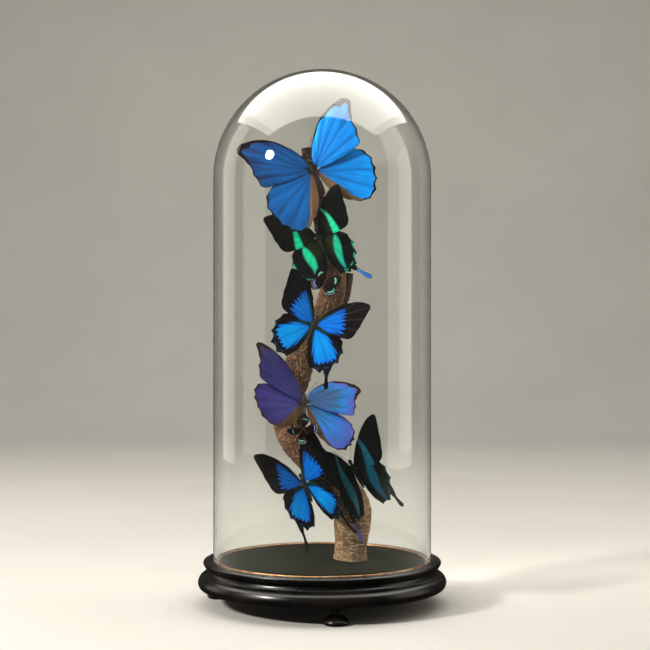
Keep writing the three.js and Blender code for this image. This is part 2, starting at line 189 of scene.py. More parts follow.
# Dark edge of a wing, half a millimetre to some millimetres wide: at these shares of the way
# round its outline from the hinge, this width for a forewing of EDGE_FOREWING.
MORPHO_FORE_EDGE = (
    [0, 0.1, 0.27, 0.36, 0.44, 0.5, 0.55, 0.7, 0.77, 1],
    [0.4, 1.1, 2, 3.4, 5.6, 4.8, 2.4, 1.4, 0.2, 0],
)
MORPHO_HIND_EDGE = ([0, 0.24, 0.32, 0.45, 0.6, 0.68, 0.74, 1], [0, 0.3, 2, 2.3, 2.4, 1.4, 0, 0])
NO_EDGE = ([0, 1], [0, 0])

TEAL_WIDTH = 1.25       # a teal band's width over an emerald one's
# The field, band or bar of each kind of scales, on the fore and the hind wing.
FIELDS = {
    "azure_field_scales": (BLUE_FORE_FIELD, BLUE_HIND_FIELD),
    "emerald_band_scales": (BAND_FORE, BAND_HIND),
    "teal_band_scales": tuple([(out, down, TEAL_WIDTH * half) for out, down, half in band]
                              for band in (BAND_FORE, BAND_HIND)),
    "turquoise_bar_scales": (BAR_FORE, BAR_HIND),
}
# Pale crescents along a swallowtail's hind margin.
CRESCENTS = [
    [(0.585, 0.22, 0.004), (0.588, 0.29, 0.014), (0.575, 0.35, 0.005)],
    [(0.575, 0.4, 0.004), (0.552, 0.47, 0.015), (0.52, 0.52, 0.006)],
    [(0.5, 0.565, 0.005), (0.45, 0.61, 0.014), (0.4, 0.63, 0.005)],
    [(0.37, 0.66, 0.005), (0.31, 0.68, 0.013), (0.26, 0.66, 0.004)],
]
# The two rows of pale dashes outside the bar of a small butterfly's hind wing.
DASHES = [
    [(0.8, 0.2, 0.012), (0.79, 0.27, 0.02)], [(0.775, 0.4, 0.02), (0.745, 0.47, 0.02)],
    [(0.69, 0.56, 0.02), (0.63, 0.61, 0.02)], [(0.54, 0.67, 0.02), (0.46, 0.695, 0.02)],
    [(0.37, 0.7, 0.02), (0.29, 0.67, 0.015)],
]

MORPHO = {
    "fore": MORPHO_FORE, "hind": MORPHO_HIND, "fold": MORPHO_FOLD, "body": 0.5, "girth": 0.044,
    "edges": (MORPHO_FORE_EDGE, MORPHO_HIND_EDGE), "scallops": ((0.03, 14), (0.035, 16)),
    "veins": (9, 9), "hairs": 900,
}
SWALLOWTAIL = {
    "fore": SWALLOWTAIL_FORE, "hind": SWALLOWTAIL_HIND, "fold": None, "body": 0.52,
    "girth": 0.05, "edges": (NO_EDGE, NO_EDGE), "scallops": ((0.012, 13), (0.075, 12)),
    "veins": (10, 8), "hairs": 900,
}
SMALL = {
    "fore": SMALL_FORE, "hind": SMALL_HIND, "fold": None, "body": 0.8, "girth": 0.095,
    "edges": (NO_EDGE, NO_EDGE), "scallops": ((0.01, 7), (0.02, 8)), "veins": (8, 8),
    "hairs": 500,
}
SMALL_NARROW = {
    **SMALL,
    "fore": [(0, 0), (0.3, -0.12), (0.68, -0.16), (1, -0.02), (0.92, 0.13), (0.7, 0.3),
             (0.46, 0.34), (0.2, 0.17)],
    "hind": [(0, 0), (0.28, 0.06), (0.64, 0.16), (0.82, 0.38), (0.74, 0.62), (0.5, 0.76),
             (0.22, 0.58), (0.03, 0.2)],
}

# Each specimen: the middle of its thorax; heading, the way its head points in the front view;
# pitch, how far the head leans out; the forewing's length; for each wing its raise, sweep and
# twist in degrees, and its sheen tone at the root, middle and edge, where 1 is the brightest
# of its scales; a swallowtail's tail as its angle out from straight back, its length as a share
# of the forewing's, and whether it is blue; bare, how worn a forewing's dark tip is; and thin,
# how much narrower its bars are, as a share of the forewing's length. The sheen tones are
# painted sheen: each wing's brightness and hue, set wing by wing, stand in for how its shining
# scales catch the light at its angle.
MORPHOS = {
    "blue_morpho_top": {
        "kind": MORPHO, "wings": "morpho_blue_scales", "slot": "morpho_blue",
        "thorax": (-8.3, -25, 434), "heading": 115.5, "pitch": -3, "length": 79,
        "left": {"fore": (5, 42, 0), "hind": (3, 1, 1)},
        "right": {"fore": (4, 40, 4), "hind": (-4, 3, 4)},
        "sheen_tones": {"left": ((0.36, 0.38, 0.22), (0.46, 0.5, 0.4)),
                  "right": ((0.66, 0.74, 0.8), (0.66, 0.78, 0.92))},
    },
    "violet_morpho": {
        "kind": MORPHO, "wings": "morpho_violet_scales", "slot": "morpho_violet",
        "thorax": (-17.9, -28, 202.7), "heading": 86, "pitch": -48, "length": 78.4,
        "left": {"fore": (33, 40, 0), "hind": (31, 1, 4)},
        "right": {"fore": (-23, 41, 4), "hind": (-25, 2, 6)},
        "sheen_tones": {"left": ((0.26, 0.2, 0.12), (0.3, 0.2, 0.12)),
                  "right": ((0.5, 0.47, 0.9), (0.5, 0.7, 0.88))},
    },
}
SWALLOWTAILS = {
    "emerald_swallowtail": {
        "kind": SWALLOWTAIL, "wings": "emerald_band_scales", "slot": "swallowtail_emerald",
        "thorax": (-3.4, -14.5, 369.3), "heading": 111.5, "pitch": -6, "length": 57,
        "left": {"fore": (6, 40, 0), "hind": (3, -4, 5), "tail": (18, 0.3, False)},
        "right": {"fore": (35, 41, -2), "hind": (33, -8, -5), "tail": (47, 0.36, True)},
        "sheen_tones": {"left": ((1, 1, 1), (0.95, 0.85, 0.45)),
                  "right": ((0.9, 0.9, 0.9), (0.85, 0.7, 0.3))},
    },
    "blue_swallowtail_middle": {
        "kind": SWALLOWTAIL, "wings": "azure_field_scales", "slot": "swallowtail_blue",
        "thorax": (-7.9, -31, 282), "heading": 67, "pitch": -17, "length": 58,
        "left": {"fore": (21, 42, 2), "hind": (16, 1, 2), "bare": 0},
        "right": {"fore": (4, 42, 1), "hind": (2, 0, -3), "tail": (20, 0.28, False), "bare": 0.6},
        "sheen_tones": {"left": ((0.6, 0.6, 0.45), (0.75, 0.9, 0.85)),
                  "right": ((0.55, 0.45, 0.35), (0.75, 0.85, 0.6))},
    },
    "blue_swallowtail_low": {
        "kind": SWALLOWTAIL, "wings": "azure_field_scales", "slot": "swallowtail_blue",
        "thorax": (-18.2, -27, 124), "heading": 114.5, "pitch": -5, "length": 59.6,
        "left": {"fore": (42, 47, 7), "hind": (49, 3, 6), "tail": (15, 0.39, False)},
        "right": {"fore": (44, 48, -12), "hind": (50, -6, -8), "tail": (21, 0.37, False)},
        "sheen_tones": {"left": ((0.85, 0.6, 0.45), (1.1, 1.2, 0.9)),
                  "right": ((0.7, 0.5, 0.4), (0.95, 1.05, 0.7))},
    },
    "teal_swallowtail": {
        "kind": SWALLOWTAIL, "wings": "teal_band_scales", "slot": "swallowtail_emerald",
        "thorax": (31.7, -26, 137.6), "heading": 118.5, "pitch": -3, "length": 61.6,
        "left": {"fore": (63, 28, -8), "hind": (56, 0, -8), "tail": (5, 0.36, True)},
        "right": {"fore": (29, 38, 22), "hind": (44, 9, 10), "tail": (14, 0.25, False)},
        "sheen_tones": {"left": ((0.75, 0.9, 0.85), (0.9, 0.85, 0.6)),
                  "right": ((0.5, 0.6, 0.6), (0.6, 0.6, 0.3))},
    },
}
SMALL_BLUES = {
    "small_blue_upper": {
        "kind": SMALL, "wings": "turquoise_bar_scales", "slot": "small_brown",
        "thorax": (3.6, -30, 324), "heading": 65, "pitch": -8, "length": 15.5,
        "left": {"fore": (14, 38, 0), "hind": (12, 0, 0)},
        "right": {"fore": (14, 38, 0), "hind": (12, 0, 0)},
        "sheen_tones": {"left": ((1, 1, 1), (0, 0, 0)), "right": ((0.9, 0.9, 0.9), (0.8, 0.8, 0.8))},
    },
    "small_blue_lower": {
        "kind": SMALL_NARROW, "wings": "turquoise_bar_scales", "slot": "small_brown",
        "thorax": (-18.5, -53, 179.5), "heading": 135, "pitch": -10, "length": 15.5,
        "thin": 0.022, "left": {"fore": (14, 38, 0), "hind": (12, 0, 0)},
        "right": {"fore": (14, 38, 0), "hind": (12, 0, 0)},
        "sheen_tones": {"left": ((0.55, 0.55, 0.55), (1, 1, 1)),
                  "right": ((0.65, 0.65, 0.65), (0.24, 0.24, 0.24))},
    },
}
# A family's two colours of hide, then its hairs' at their roots and tips.
MORPHO_BODY = (("#0d0907", "#241812"), ("#1c1511", "#5a4a3a"))
SWALLOWTAIL_BODY = (("#080807", "#191813"), ("#10140f", "#2c4a34"))
SMALL_BODY = (("#100b08", "#2a1c14"), ("#1a120d", "#4a3626"))

# The wing scales, as wing_scales takes them.
SCALES = {
    "morpho_blue_scales": {
        "blues": [(0, "#1c1838"), (0.22, "#133c70"), (0.5, "#0a5ea8"), (0.75, "#0479d2"),
                  (1, "#0498fb")],
        "edge": "#120b0a", "fold": ("#4d3829", "#735b46"), "ragged": 0.55, "shade": 0.1,
    },
    # The violet of this ramp is painted sheen: blue morpho scales turn violet as they tilt away
    # from the light.
    "morpho_violet_scales": {
        "blues": [(0, "#251c4c"), (0.2, "#2b2869"), (0.4, "#2a4678"), (0.55, "#1a5680"),
                  (0.7, "#0a68bc"), (0.85, "#3a4c9a"), (1, "#5c42a6")],
        "edge": "#231310", "fold": ("#3a291a", "#553f2c"), "shade": 0.08, "metal": 0.1,
        "gloss": 0.06,
    },
    "emerald_band_scales": {
        "blues": [(0, "#1c62cc"), (0.3, "#08839a"), (0.6, "#06a67c"), (1, "#0acd8e")],
        "ground": ("#050605", "#17170f"), "bar": "#086a62", "dust": "#243010",
        "lilac": "#1fb08c", "metal": 0.25, "feather": 0.6, "rim": 2.2, "ragged": 0.3,
    },
    "teal_band_scales": {
        "blues": [(0, "#2c2aa0"), (0.3, "#0a3450"), (0.6, "#064a5e"), (1, "#0a6874")],
        "ground": ("#040505", "#12120f"), "bar": "#07303a", "dust": "#0e1f16",
        "lilac": "#1d4a55", "metal": 0.25,
    },
    "azure_field_scales": {
        "blues": [(0, "#0040b8"), (0.5, "#006cd0"), (1, "#009cee")],
        "ground": ("#050407", "#362d2a"), "bar": "#0050c4", "dust": "#0c4a3c",
        "lilac": "#24405c", "metal": 0.35, "gloss": 0.08,
    },
    "turquoise_bar_scales": {
        "blues": [(0, "#8f86c4"), (0.3, "#3f68a8"), (0.55, "#3a94a2"), (0.8, "#5fb2a0"),
                  (1, "#8fc9b2")],
        "ground": ("#120807", "#3a201a"), "bar": "#0c2c34", "dust": "#2c1410",
        "lilac": "#a3b8cc", "metal": 0.1, "ragged": 0.2, "feather": 0.15, "rim": 0.35,
    },
}

HINGE_OUT, HINGE_ALONG = 0.026, 0.02        # hinge from the middle of the thorax
SHEET_GAP = 0.25    # millimetres that a fore wing's sheet is raised and a hind wing's lowered
TAIL_GAP = 0.45     # and a tail's lowered
EDGE_FOREWING = 80  # forewing that the widths of the edges are for
LIMB_FOREWING = 60  # forewing that the thicknesses of legs and hairs are for
RAYS = 121          # columns of a wing's grid, from its front edge round to its inner edge
FIRST_RAY, LAST_RAY = 0.015, 0.985          # where they meet the outline, as shares of its way
STEPS = 40          # rows, from the hinge to the margin
EYE_SIZE = 0.34     # half an eye's width, as a share of the body's girth


# ---- Curves, noise and grids ---------------------------------------------------------------

def spline(points, steps, closed=False):
    """A centripetal Catmull-Rom curve through the points, with steps places from each to the next.

    Between points 1 and 2 it blends the straight lines 0-1, 1-2 and 2-3 twice over, each by how
    far along it the place is, with the square roots of the distances as the scale.
    """
    points = np.asarray(points, float)
    if closed:
        around = points[np.arange(-1, len(points) + 2) % len(points)]
    else:
        around = np.vstack([2 * points[0] - points[1], points, 2 * points[-1] - points[-2]])
    p0, p1, p2, p3 = (around[i:len(around) - 3 + i, None] for i in range(4))

    def root_gap(a, b):
        return np.sqrt(np.linalg.norm(b - a, axis=-1, keepdims=True))

    t1 = root_gap(p0, p1)
    t2 = t1 + root_gap(p1, p2)
    t3 = t2 + root_gap(p2, p3)
    t = t1 + (t2 - t1) * np.linspace(0, 1, steps, endpoint=False)[None, :, None]

    def blend(a, b, start, end):
        return (a * (end - t) + b * (t - start)) / (end - start)

    first = blend(blend(p0, p1, 0, t1), blend(p1, p2, t1, t2), 0, t2)
    second = blend(blend(p1, p2, t1, t2), blend(p2, p3, t2, t3), t1, t3)
    curve = blend(first, second, t1, t2).reshape(-1, points.shape[1])
    return curve if closed else np.vstack([curve, points[-1]])


def noise(points, cell, seed):
    """Value noise from -1 to 1: seeded numbers on a lattice of cells, blended between corners."""
    table = np.random.default_rng(seed).uniform(-1, 1, (32, 32, 32))
    place = np.asarray(points, float) / cell
    low = np.floor(place).astype(int)
    share = place - low
    share = share * share * (3 - 2 * share)
    total = np.zeros(place.shape[:-1])
    for corner in np.ndindex(2, 2, 2):
        index = (low + corner) % 32
        weight = np.prod(np.where(corner, share, 1 - share), axis=-1)
        total += weight * table[index[..., 0], index[..., 1], index[..., 2]]
    return total


def grid_faces(rows, columns, wrap):
    """Quads of a grid of points stored row by row. With wrap, the last column joins the first."""
    row, column = np.meshgrid(np.arange(rows - 1), np.arange(columns if wrap else columns - 1),
                              indexing="ij")
    after = (column + 1) % columns
    return np.stack([row * columns + column, row * columns + after,
                     (row + 1) * columns + after, (row + 1) * columns + column],
                    axis=-1).reshape(-1, 4)


def turned(profile, sides):
    """A surface of revolution: each [radius, height] of the profile carried round the Z axis.

    The profile runs from the axis or the inside at the bottom, round the outside, to the top.
    """
    profile = np.asarray(profile, float)
    angle = np.linspace(0, 2 * np.pi, sides, endpoint=False)
    radius = profile[:, :1]
    points = np.stack([radius * np.cos(angle), radius * np.sin(angle),
                       np.repeat(profile[:, 1:], sides, axis=1)], axis=-1)
    return points.reshape(-1, 3), grid_faces(len(profile), sides, True)


def tube(path, radii, sides):
    """A tube: circles of the given radii carried along the path, square to it, ends shut.

    radii holds one number for each place on the path, or a row of them, one for each side.
    """
    path = np.vstack([path[:1], path, path[-1:]])
    radii = np.asarray(radii, float).reshape(len(path) - 2, -1)
    radii = np.vstack([0 * radii[:1], radii, 0 * radii[-1:]])[..., None]
    ahead = unit(np.gradient(path, axis=0) + 1e-12)
    aid = np.eye(3)[np.argmin(np.abs(ahead).sum(axis=0))]
    across = unit(np.cross(aid, ahead))
    up = np.cross(ahead, across)
    angle = np.linspace(0, 2 * np.pi, sides, endpoint=False)[None, :, None]
    points = path[:, None] + radii * (np.cos(angle) * across[:, None]
                                      + np.sin(angle) * up[:, None])
    return points.reshape(-1, 3), grid_faces(len(path), sides, True)


def unit(vectors):
    """The same directions, one long."""
    return vectors / np.linalg.norm(vectors, axis=-1, keepdims=True)


def smoothstep(low, high, value):
    """0 below low, 1 above high, and an S between them."""
    share = np.clip((value - low) / (high - low), 0, 1)
    return share * share * (3 - 2 * share)


def stroke_field(points, path):
    """How far inside a drawn stroke each point is: the stroke's half width less the distance to
    its middle line, where each row of the path is a point of that line and its half width."""
    path = np.asarray(path, float)
    best = np.full(len(points), -1e9)
    for start, end in zip(path[:-1], path[1:]):
        span = end[:2] - start[:2]
        share = np.clip(((points - start[:2]) @ span) / (span @ span), 0, 1)
        away = np.linalg.norm(points - start[:2] - share[:, None] * span, axis=1)
        best = np.maximum(best, start[2] + share * (end[2] - start[2]) - away)
    return best


def area_field(points, corners):
    """How far inside a closed outline each point is: the distance to the nearest side, negative
    outside. A point is inside when a line from it to the right crosses an odd number of sides."""
    corners = np.asarray(corners, float)
    away = np.full(len(points), 1e9)
    inside = np.zeros(len(points), bool)
    for start, end in zip(corners, np.roll(corners, -1, axis=0)):
        span = end - start
        share = np.clip(((points - start) @ span) / (span @ span), 0, 1)
        away = np.minimum(away, np.linalg.norm(points - start - share[:, None] * span, axis=1))
        crosses = (start[1] > points[:, 1]) != (end[1] > points[:, 1])
        rise = np.where(crosses, points[:, 1] - start[1], 0)
        slope = span[0] / span[1] if span[1] else 0
        inside ^= crosses & (points[:, 0] < start[0] + rise * slope)
    return np.where(inside, away, -away)


# ---- Meshes --------------------------------------------------------------------------------

WELD = 1e-6             # metres: points nearer than this become one


class Shape:
    """Points, faces, finishes and marks of one piece, gathered part by part, in millimetres."""

    def __init__(self):
        self.points = []
        self.faces = []
        self.finishes = []
        self.marks = []
        self.count = 0

    def add(self, points, faces, finish=0, marks=None):
        """Adds a part. marks holds one array of numbers per name, one number for each point."""
        self.points.append(points)
        self.faces.extend((faces + self.count).tolist())
        self.finishes.append(np.full(len(faces), finish) if np.isscalar(finish) else finish)
        self.marks.append(marks or {})
        self.count += len(points)

    def build(self, name, materials, sharp_angle=40):
        """Makes the object, its doubled points joined and its creases kept sharp."""
        mesh = bpy.data.meshes.new(name)
        mesh.from_pydata((np.vstack(self.points) * MM).tolist(), [], self.faces)
        mesh.polygons.foreach_set("material_index", np.concatenate(self.finishes).astype(int))
        mesh.polygons.foreach_set("use_smooth", np.ones(len(mesh.polygons), bool))
        for mark in sorted({key for marks in self.marks for key in marks}):
            numbers = np.concatenate([
                np.asarray(marks.get(mark, np.zeros(len(points))), float)
                for marks, points in zip(self.marks, self.points)])
            mesh.attributes.new(mark, "FLOAT", "POINT").data.foreach_set("value", numbers)
        for material in materials:
            mesh.materials.append(material)
        work = bmesh.new()
        work.from_mesh(mesh)
        bmesh.ops.remove_doubles(work, verts=work.verts, dist=WELD)
        work.to_mesh(mesh)
        work.free()
        mesh.set_sharp_from_angle(angle=math.radians(sharp_angle))
        made = bpy.data.objects.new(name, mesh)
        bpy.context.scene.collection.objects.link(made)
        return made


def settle(piece, slot, node_name):
    """Fixes a piece to the display, in place of its solid. Its slot is not used."""
    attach(piece, "root")
    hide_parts(node_name)
    return piece


def turned_piece(name, profile, sides, materials, sharp_angle, slot, node_name, finish=0,
                 shift=None):
    """A piece that is one surface of revolution, settled in place of its solid.

    shift takes its points and returns how far each moves.
    """
    points, faces = turned(profile, sides)
    if shift:
        points = points + shift(points)
    shape = Shape()
    shape.add(points, faces, finish)
    return settle(shape.build(name, materials, sharp_angle), slot, node_name)


# ---- Materials -----------------------------------------------------------------------------

CLOUD = (0.3, 0.7)          # a noise lies between these, for the most part


def linear(colour):
    """An sRGB hex colour as linear red, green, blue and alpha."""
    parts = np.array([int(colour[i:i + 2], 16) for i in (1, 3, 5)]) / 255
    parts = np.where(parts <= 0.04045, parts / 12.92, ((parts + 0.055) / 1.055) ** 2.4)
    return (*parts.tolist(), 1.0)


def add_node(tree, kind, inputs=(), out=0, stops=(), **settings):
    """Adds a node and returns its output, named or numbered by out.

    kind is the node's type, followed by its operation if it has one. inputs gives its sockets, in
    order or by key, a value or the output of another node to link to. stops are the places and
    hex colours of a ramp, and settings the node's own properties.
    """
    kind, *operation = kind.split()
    node = tree.nodes.new("ShaderNode" + kind)
    if operation:
        node.operation = operation[0]
    for name, value in settings.items():
        setattr(node, name, value)
    for key, value in inputs.items() if isinstance(inputs, dict) else enumerate(inputs):
        if isinstance(value, bpy.types.NodeSocket):
            tree.links.new(value, node.inputs[key])
        else:
            node.inputs[key].default_value = value
    if stops:
        elements = node.color_ramp.elements
        while len(elements) < len(stops):
            elements.new(0.5)
        for element, (place, colour) in zip(elements, stops):
            element.position = place
            element.color = linear(colour)
    return node.outputs[out] if node.outputs else None


def new_material(name):
    """An empty material, and the function that adds nodes to it."""
    material = bpy.data.materials.new(name)
    material.use_nodes = True
    material.node_tree.nodes.clear()
    return material, functools.partial(add_node, material.node_tree)


def mottled(name, cloud_mm, detail, stops, bump=None, rough=None, **values):
    """A finish whose colour runs through the stops by noise with lumps of cloud_mm.

    bump is a depth in millimetres and a strength, and the size in millimetres and the detail of
    its noise where that isn't the cloud. rough is the roughness at the cloud's two ends.
    """
    material, add = new_material(name)
    place = add("TexCoord", out="Object")
    cloud = add("TexNoise", {"Vector": place, "Scale": 1 / (cloud_mm * MM), "Detail": detail})
    sockets = {key.replace("_", " "): value for key, value in values.items()}
    sockets["Base Color"] = add("ValToRGB", [cloud], stops=stops)
    if rough:
        sockets["Roughness"] = add("MapRange", [cloud, *CLOUD, *rough])
    if bump:
        depth, strength, *grain = bump
        height = cloud
        if grain:
            height = add("TexNoise", {"Vector": place, "Scale": 1 / (grain[0] * MM),
                                      "Detail": grain[1]})
        sockets["Normal"] = add("Bump", {"Height": height, "Distance": depth * MM,
                                         "Strength": strength})
    add("OutputMaterial", [add("BsdfPrincipled", sockets)])
    return material


def ebonised_wood():
    """Turned wood stained black and polished: fine long pores, a little dust in its hollows."""
    material, add = new_material("ebonised_wood")
    place = add("TexCoord", out="Object")
    flat = add("Mapping", {"Vector": place, "Scale": (1, 0.08, 1)})
    # Real pores are finer. They are drawn as coarse as they need to show.
    pores = add("TexNoise", {"Vector": flat, "Scale": 1 / (1.4 * MM), "Detail": 4})
    cloud = add("TexNoise", {"Vector": place, "Scale": 1 / (34 * MM), "Detail": 4})
    stain = add("ValToRGB", [cloud],
                stops=[(0.3, "#070605"), (0.55, "#0d0a08"), (0.8, "#211811")])
    dust = add("MapRange", [pores, 0.55, 0.75, 0, 0.5])
    add("OutputMaterial", [add("BsdfPrincipled", {
        "Base Color": add("Mix", {0: dust, 6: stain, 7: linear("#1f1812")}, 2, data_type="RGBA"),
        "Roughness": add("MapRange", [cloud, *CLOUD, 0.24, 0.38]),
        "Specular IOR Level": 0.5,
        "Normal": add("Bump", {"Height": pores, "Distance": 0.05 * MM, "Strength": 0.5})})])
    return material


def painted_board():
    """The flat disc under the branch: board painted a dull black-green, faintly marbled."""
    return mottled("dull_painted_board", 26, 5,
                   [(0.3, "#0e0f09"), (0.55, "#15170f"), (0.75, "#222419")],
                   (0.03, 0.5, 0.8, 3), (0.66, 0.85), Specular_IOR_Level=0)


def copper_gilt():
    """Thin copper-gold leaf over a turned ring, rubbed dull and brown in places."""
    return mottled("copper_gilt_leaf", 9, 5,
                   [(0.3, "#5b3a22"), (0.5, "#a87a52"), (0.75, "#cfa57c")],
                   (0.04, 0.6, 0.7, 2), (0.55, 0.28), Metallic=1)


def sawn_wood():
    """Bare wood where the branch was cut or broke: pale, dry and rough."""
    return mottled("bare_branch_wood", 2.2, 4, [(0.3, "#6d5138"), (0.7, "#b1946e")], (0.4, 1),
                   Roughness=0.8)


def pin_steel():
    """A black-lacquered steel insect pin, worn bright in places."""
    return mottled("black_pin_steel", 2, 3, [(0.4, "#1c1b1a"), (0.7, "#8d8a85")],
                   Metallic=1, Roughness=0.3)


def eye_horn():
    """A dried eye: dark brown horn with a dull shine.

    Its facets are drawn about ten times as coarse as real ones, so that they show.
    """
    return mottled("dried_eye_horn", 0.25, 2, [(0.3, "#140b07"), (0.7, "#3a2216")], (0.04, 1),
                   Roughness=0.3)


def clear_glass(tint):
    """Blown soda-lime glass: quite clear, and it mirrors the lamps as any polished glass does."""
    material, add = new_material("clear_blown_glass")
    add("OutputMaterial", [add("BsdfPrincipled", {
        "Base Color": tint, "Roughness": 0, "IOR": 1.5, "Transmission Weight": 1})])
    return material


def old_bark():
    """Dry bark: tan plates between dark cracks, barer and paler at the foot, redder above."""
    material, add = new_material("dry_bark")
    relief, along = (add("Attribute", out="Fac", attribute_name=name)
                     for name in ("relief", "along"))
    place = add("TexCoord", out="Object")
    flat = add("Mapping", {"Vector": place, "Scale": (1, 1, 6)})
    grain, patch, lines = (
        add("TexNoise", {"Vector": where, "Scale": 1 / (size * MM), "Detail": detail})
        for where, size, detail in ((place, 1.1, 6), (place, 11, 4), (flat, 3, 5)))
    long = add("Mapping", {"Vector": place, "Scale": (1, 1, 0.55)})
    wander = add("TexNoise", {"Vector": place, "Scale": 1 / (2 * MM)}, "Color")
    bent = add("VectorMath MULTIPLY_ADD", [wander, (1.6 * MM,) * 3, long])
    crack = add("TexVoronoi", {"Vector": bent, "Scale": 1 / (2.9 * MM)}, "Distance",
                feature="DISTANCE_TO_EDGE")
    plate = add("MapRange", [crack, 0, 0.11, 0, 1])
    height = lined = 0
    for part, weight in ((relief, 0.32), (plate, 0.38), (grain, 0.5)):
        height = add("Math MULTIPLY_ADD", [part, weight, height])
    for part, weight in ((grain, 0.2), (lines, 0.8), (relief, 0.5)):
        lined = add("Math MULTIPLY_ADD", [part, weight, lined])
    foot = add("ValToRGB", [lined], stops=[(0.45, "#20160e"), (0.64, "#503c28"),
                                           (0.82, "#866b4c"), (1, "#b89a74")])
    middle = add("ValToRGB", [height], stops=[(0.3, "#170f0a"), (0.55, "#453022"),
                                              (0.8, "#70533c"), (1, "#9a785a")])
    upper = add("ValToRGB", [height], stops=[(0.35, "#100906"), (0.65, "#2e1d14"),
                                             (1, "#5a3f2e")])
    stain = add("Math MULTIPLY", [add("MapRange", [patch, 0.5, 0.72, 0, 1]), 0.55])
    colour = foot
    for share, over in ((add("MapRange", [along, 0.12, 0.26, 0, 1]), middle),
                        (add("MapRange", [along, 0.68, 0.82, 0, 1]), upper),
                        (stain, linear("#33261b"))):
        colour = add("Mix", {0: share, 6: colour, 7: over}, 2, data_type="RGBA")
    add("OutputMaterial", [add("BsdfPrincipled", {
        "Base Color": colour, "Roughness": add("MapRange", [grain, *CLOUD, 0.75, 0.95]),
        "Specular IOR Level": 0.25,
        "Normal": add("Bump", {"Height": add("Math ADD", [height, lines]),
                               "Distance": 0.6 * MM, "Strength": 0.9})})])
    return material


def insect_hide(hide, fur):
    """Dried chitin under hairs: the hide's two colours, and the hairs' two from root to tip."""
    material, add = new_material("dried_insect_hide")
    hair = add("Attribute", out="Fac", attribute_name="hair")
    cloud = add("TexNoise", {"Vector": add("TexCoord", out="Object"), "Scale": 1 / (1.2 * MM),
                             "Detail": 3})
    skin = add("ValToRGB", [cloud], stops=[(0.35, hide[0]), (0.7, hide[1])])
    coat = add("ValToRGB", [hair], stops=[(0.1, fur[0]), (0.9, fur[1])])
    furred = add("MapRange", [hair, 0.01, 0.04, 0, 1])
    add("OutputMaterial", [add("BsdfPrincipled", {
        "Base Color": add("Mix", {0: furred, 6: skin, 7: coat}, 2, data_type="RGBA"),
        "Roughness": 0.5, "Specular IOR Level": 0.2,
        "Normal": add("Bump", {"Height": cloud, "Distance": 0.1 * MM, "Strength": 0.6})})])
    return material


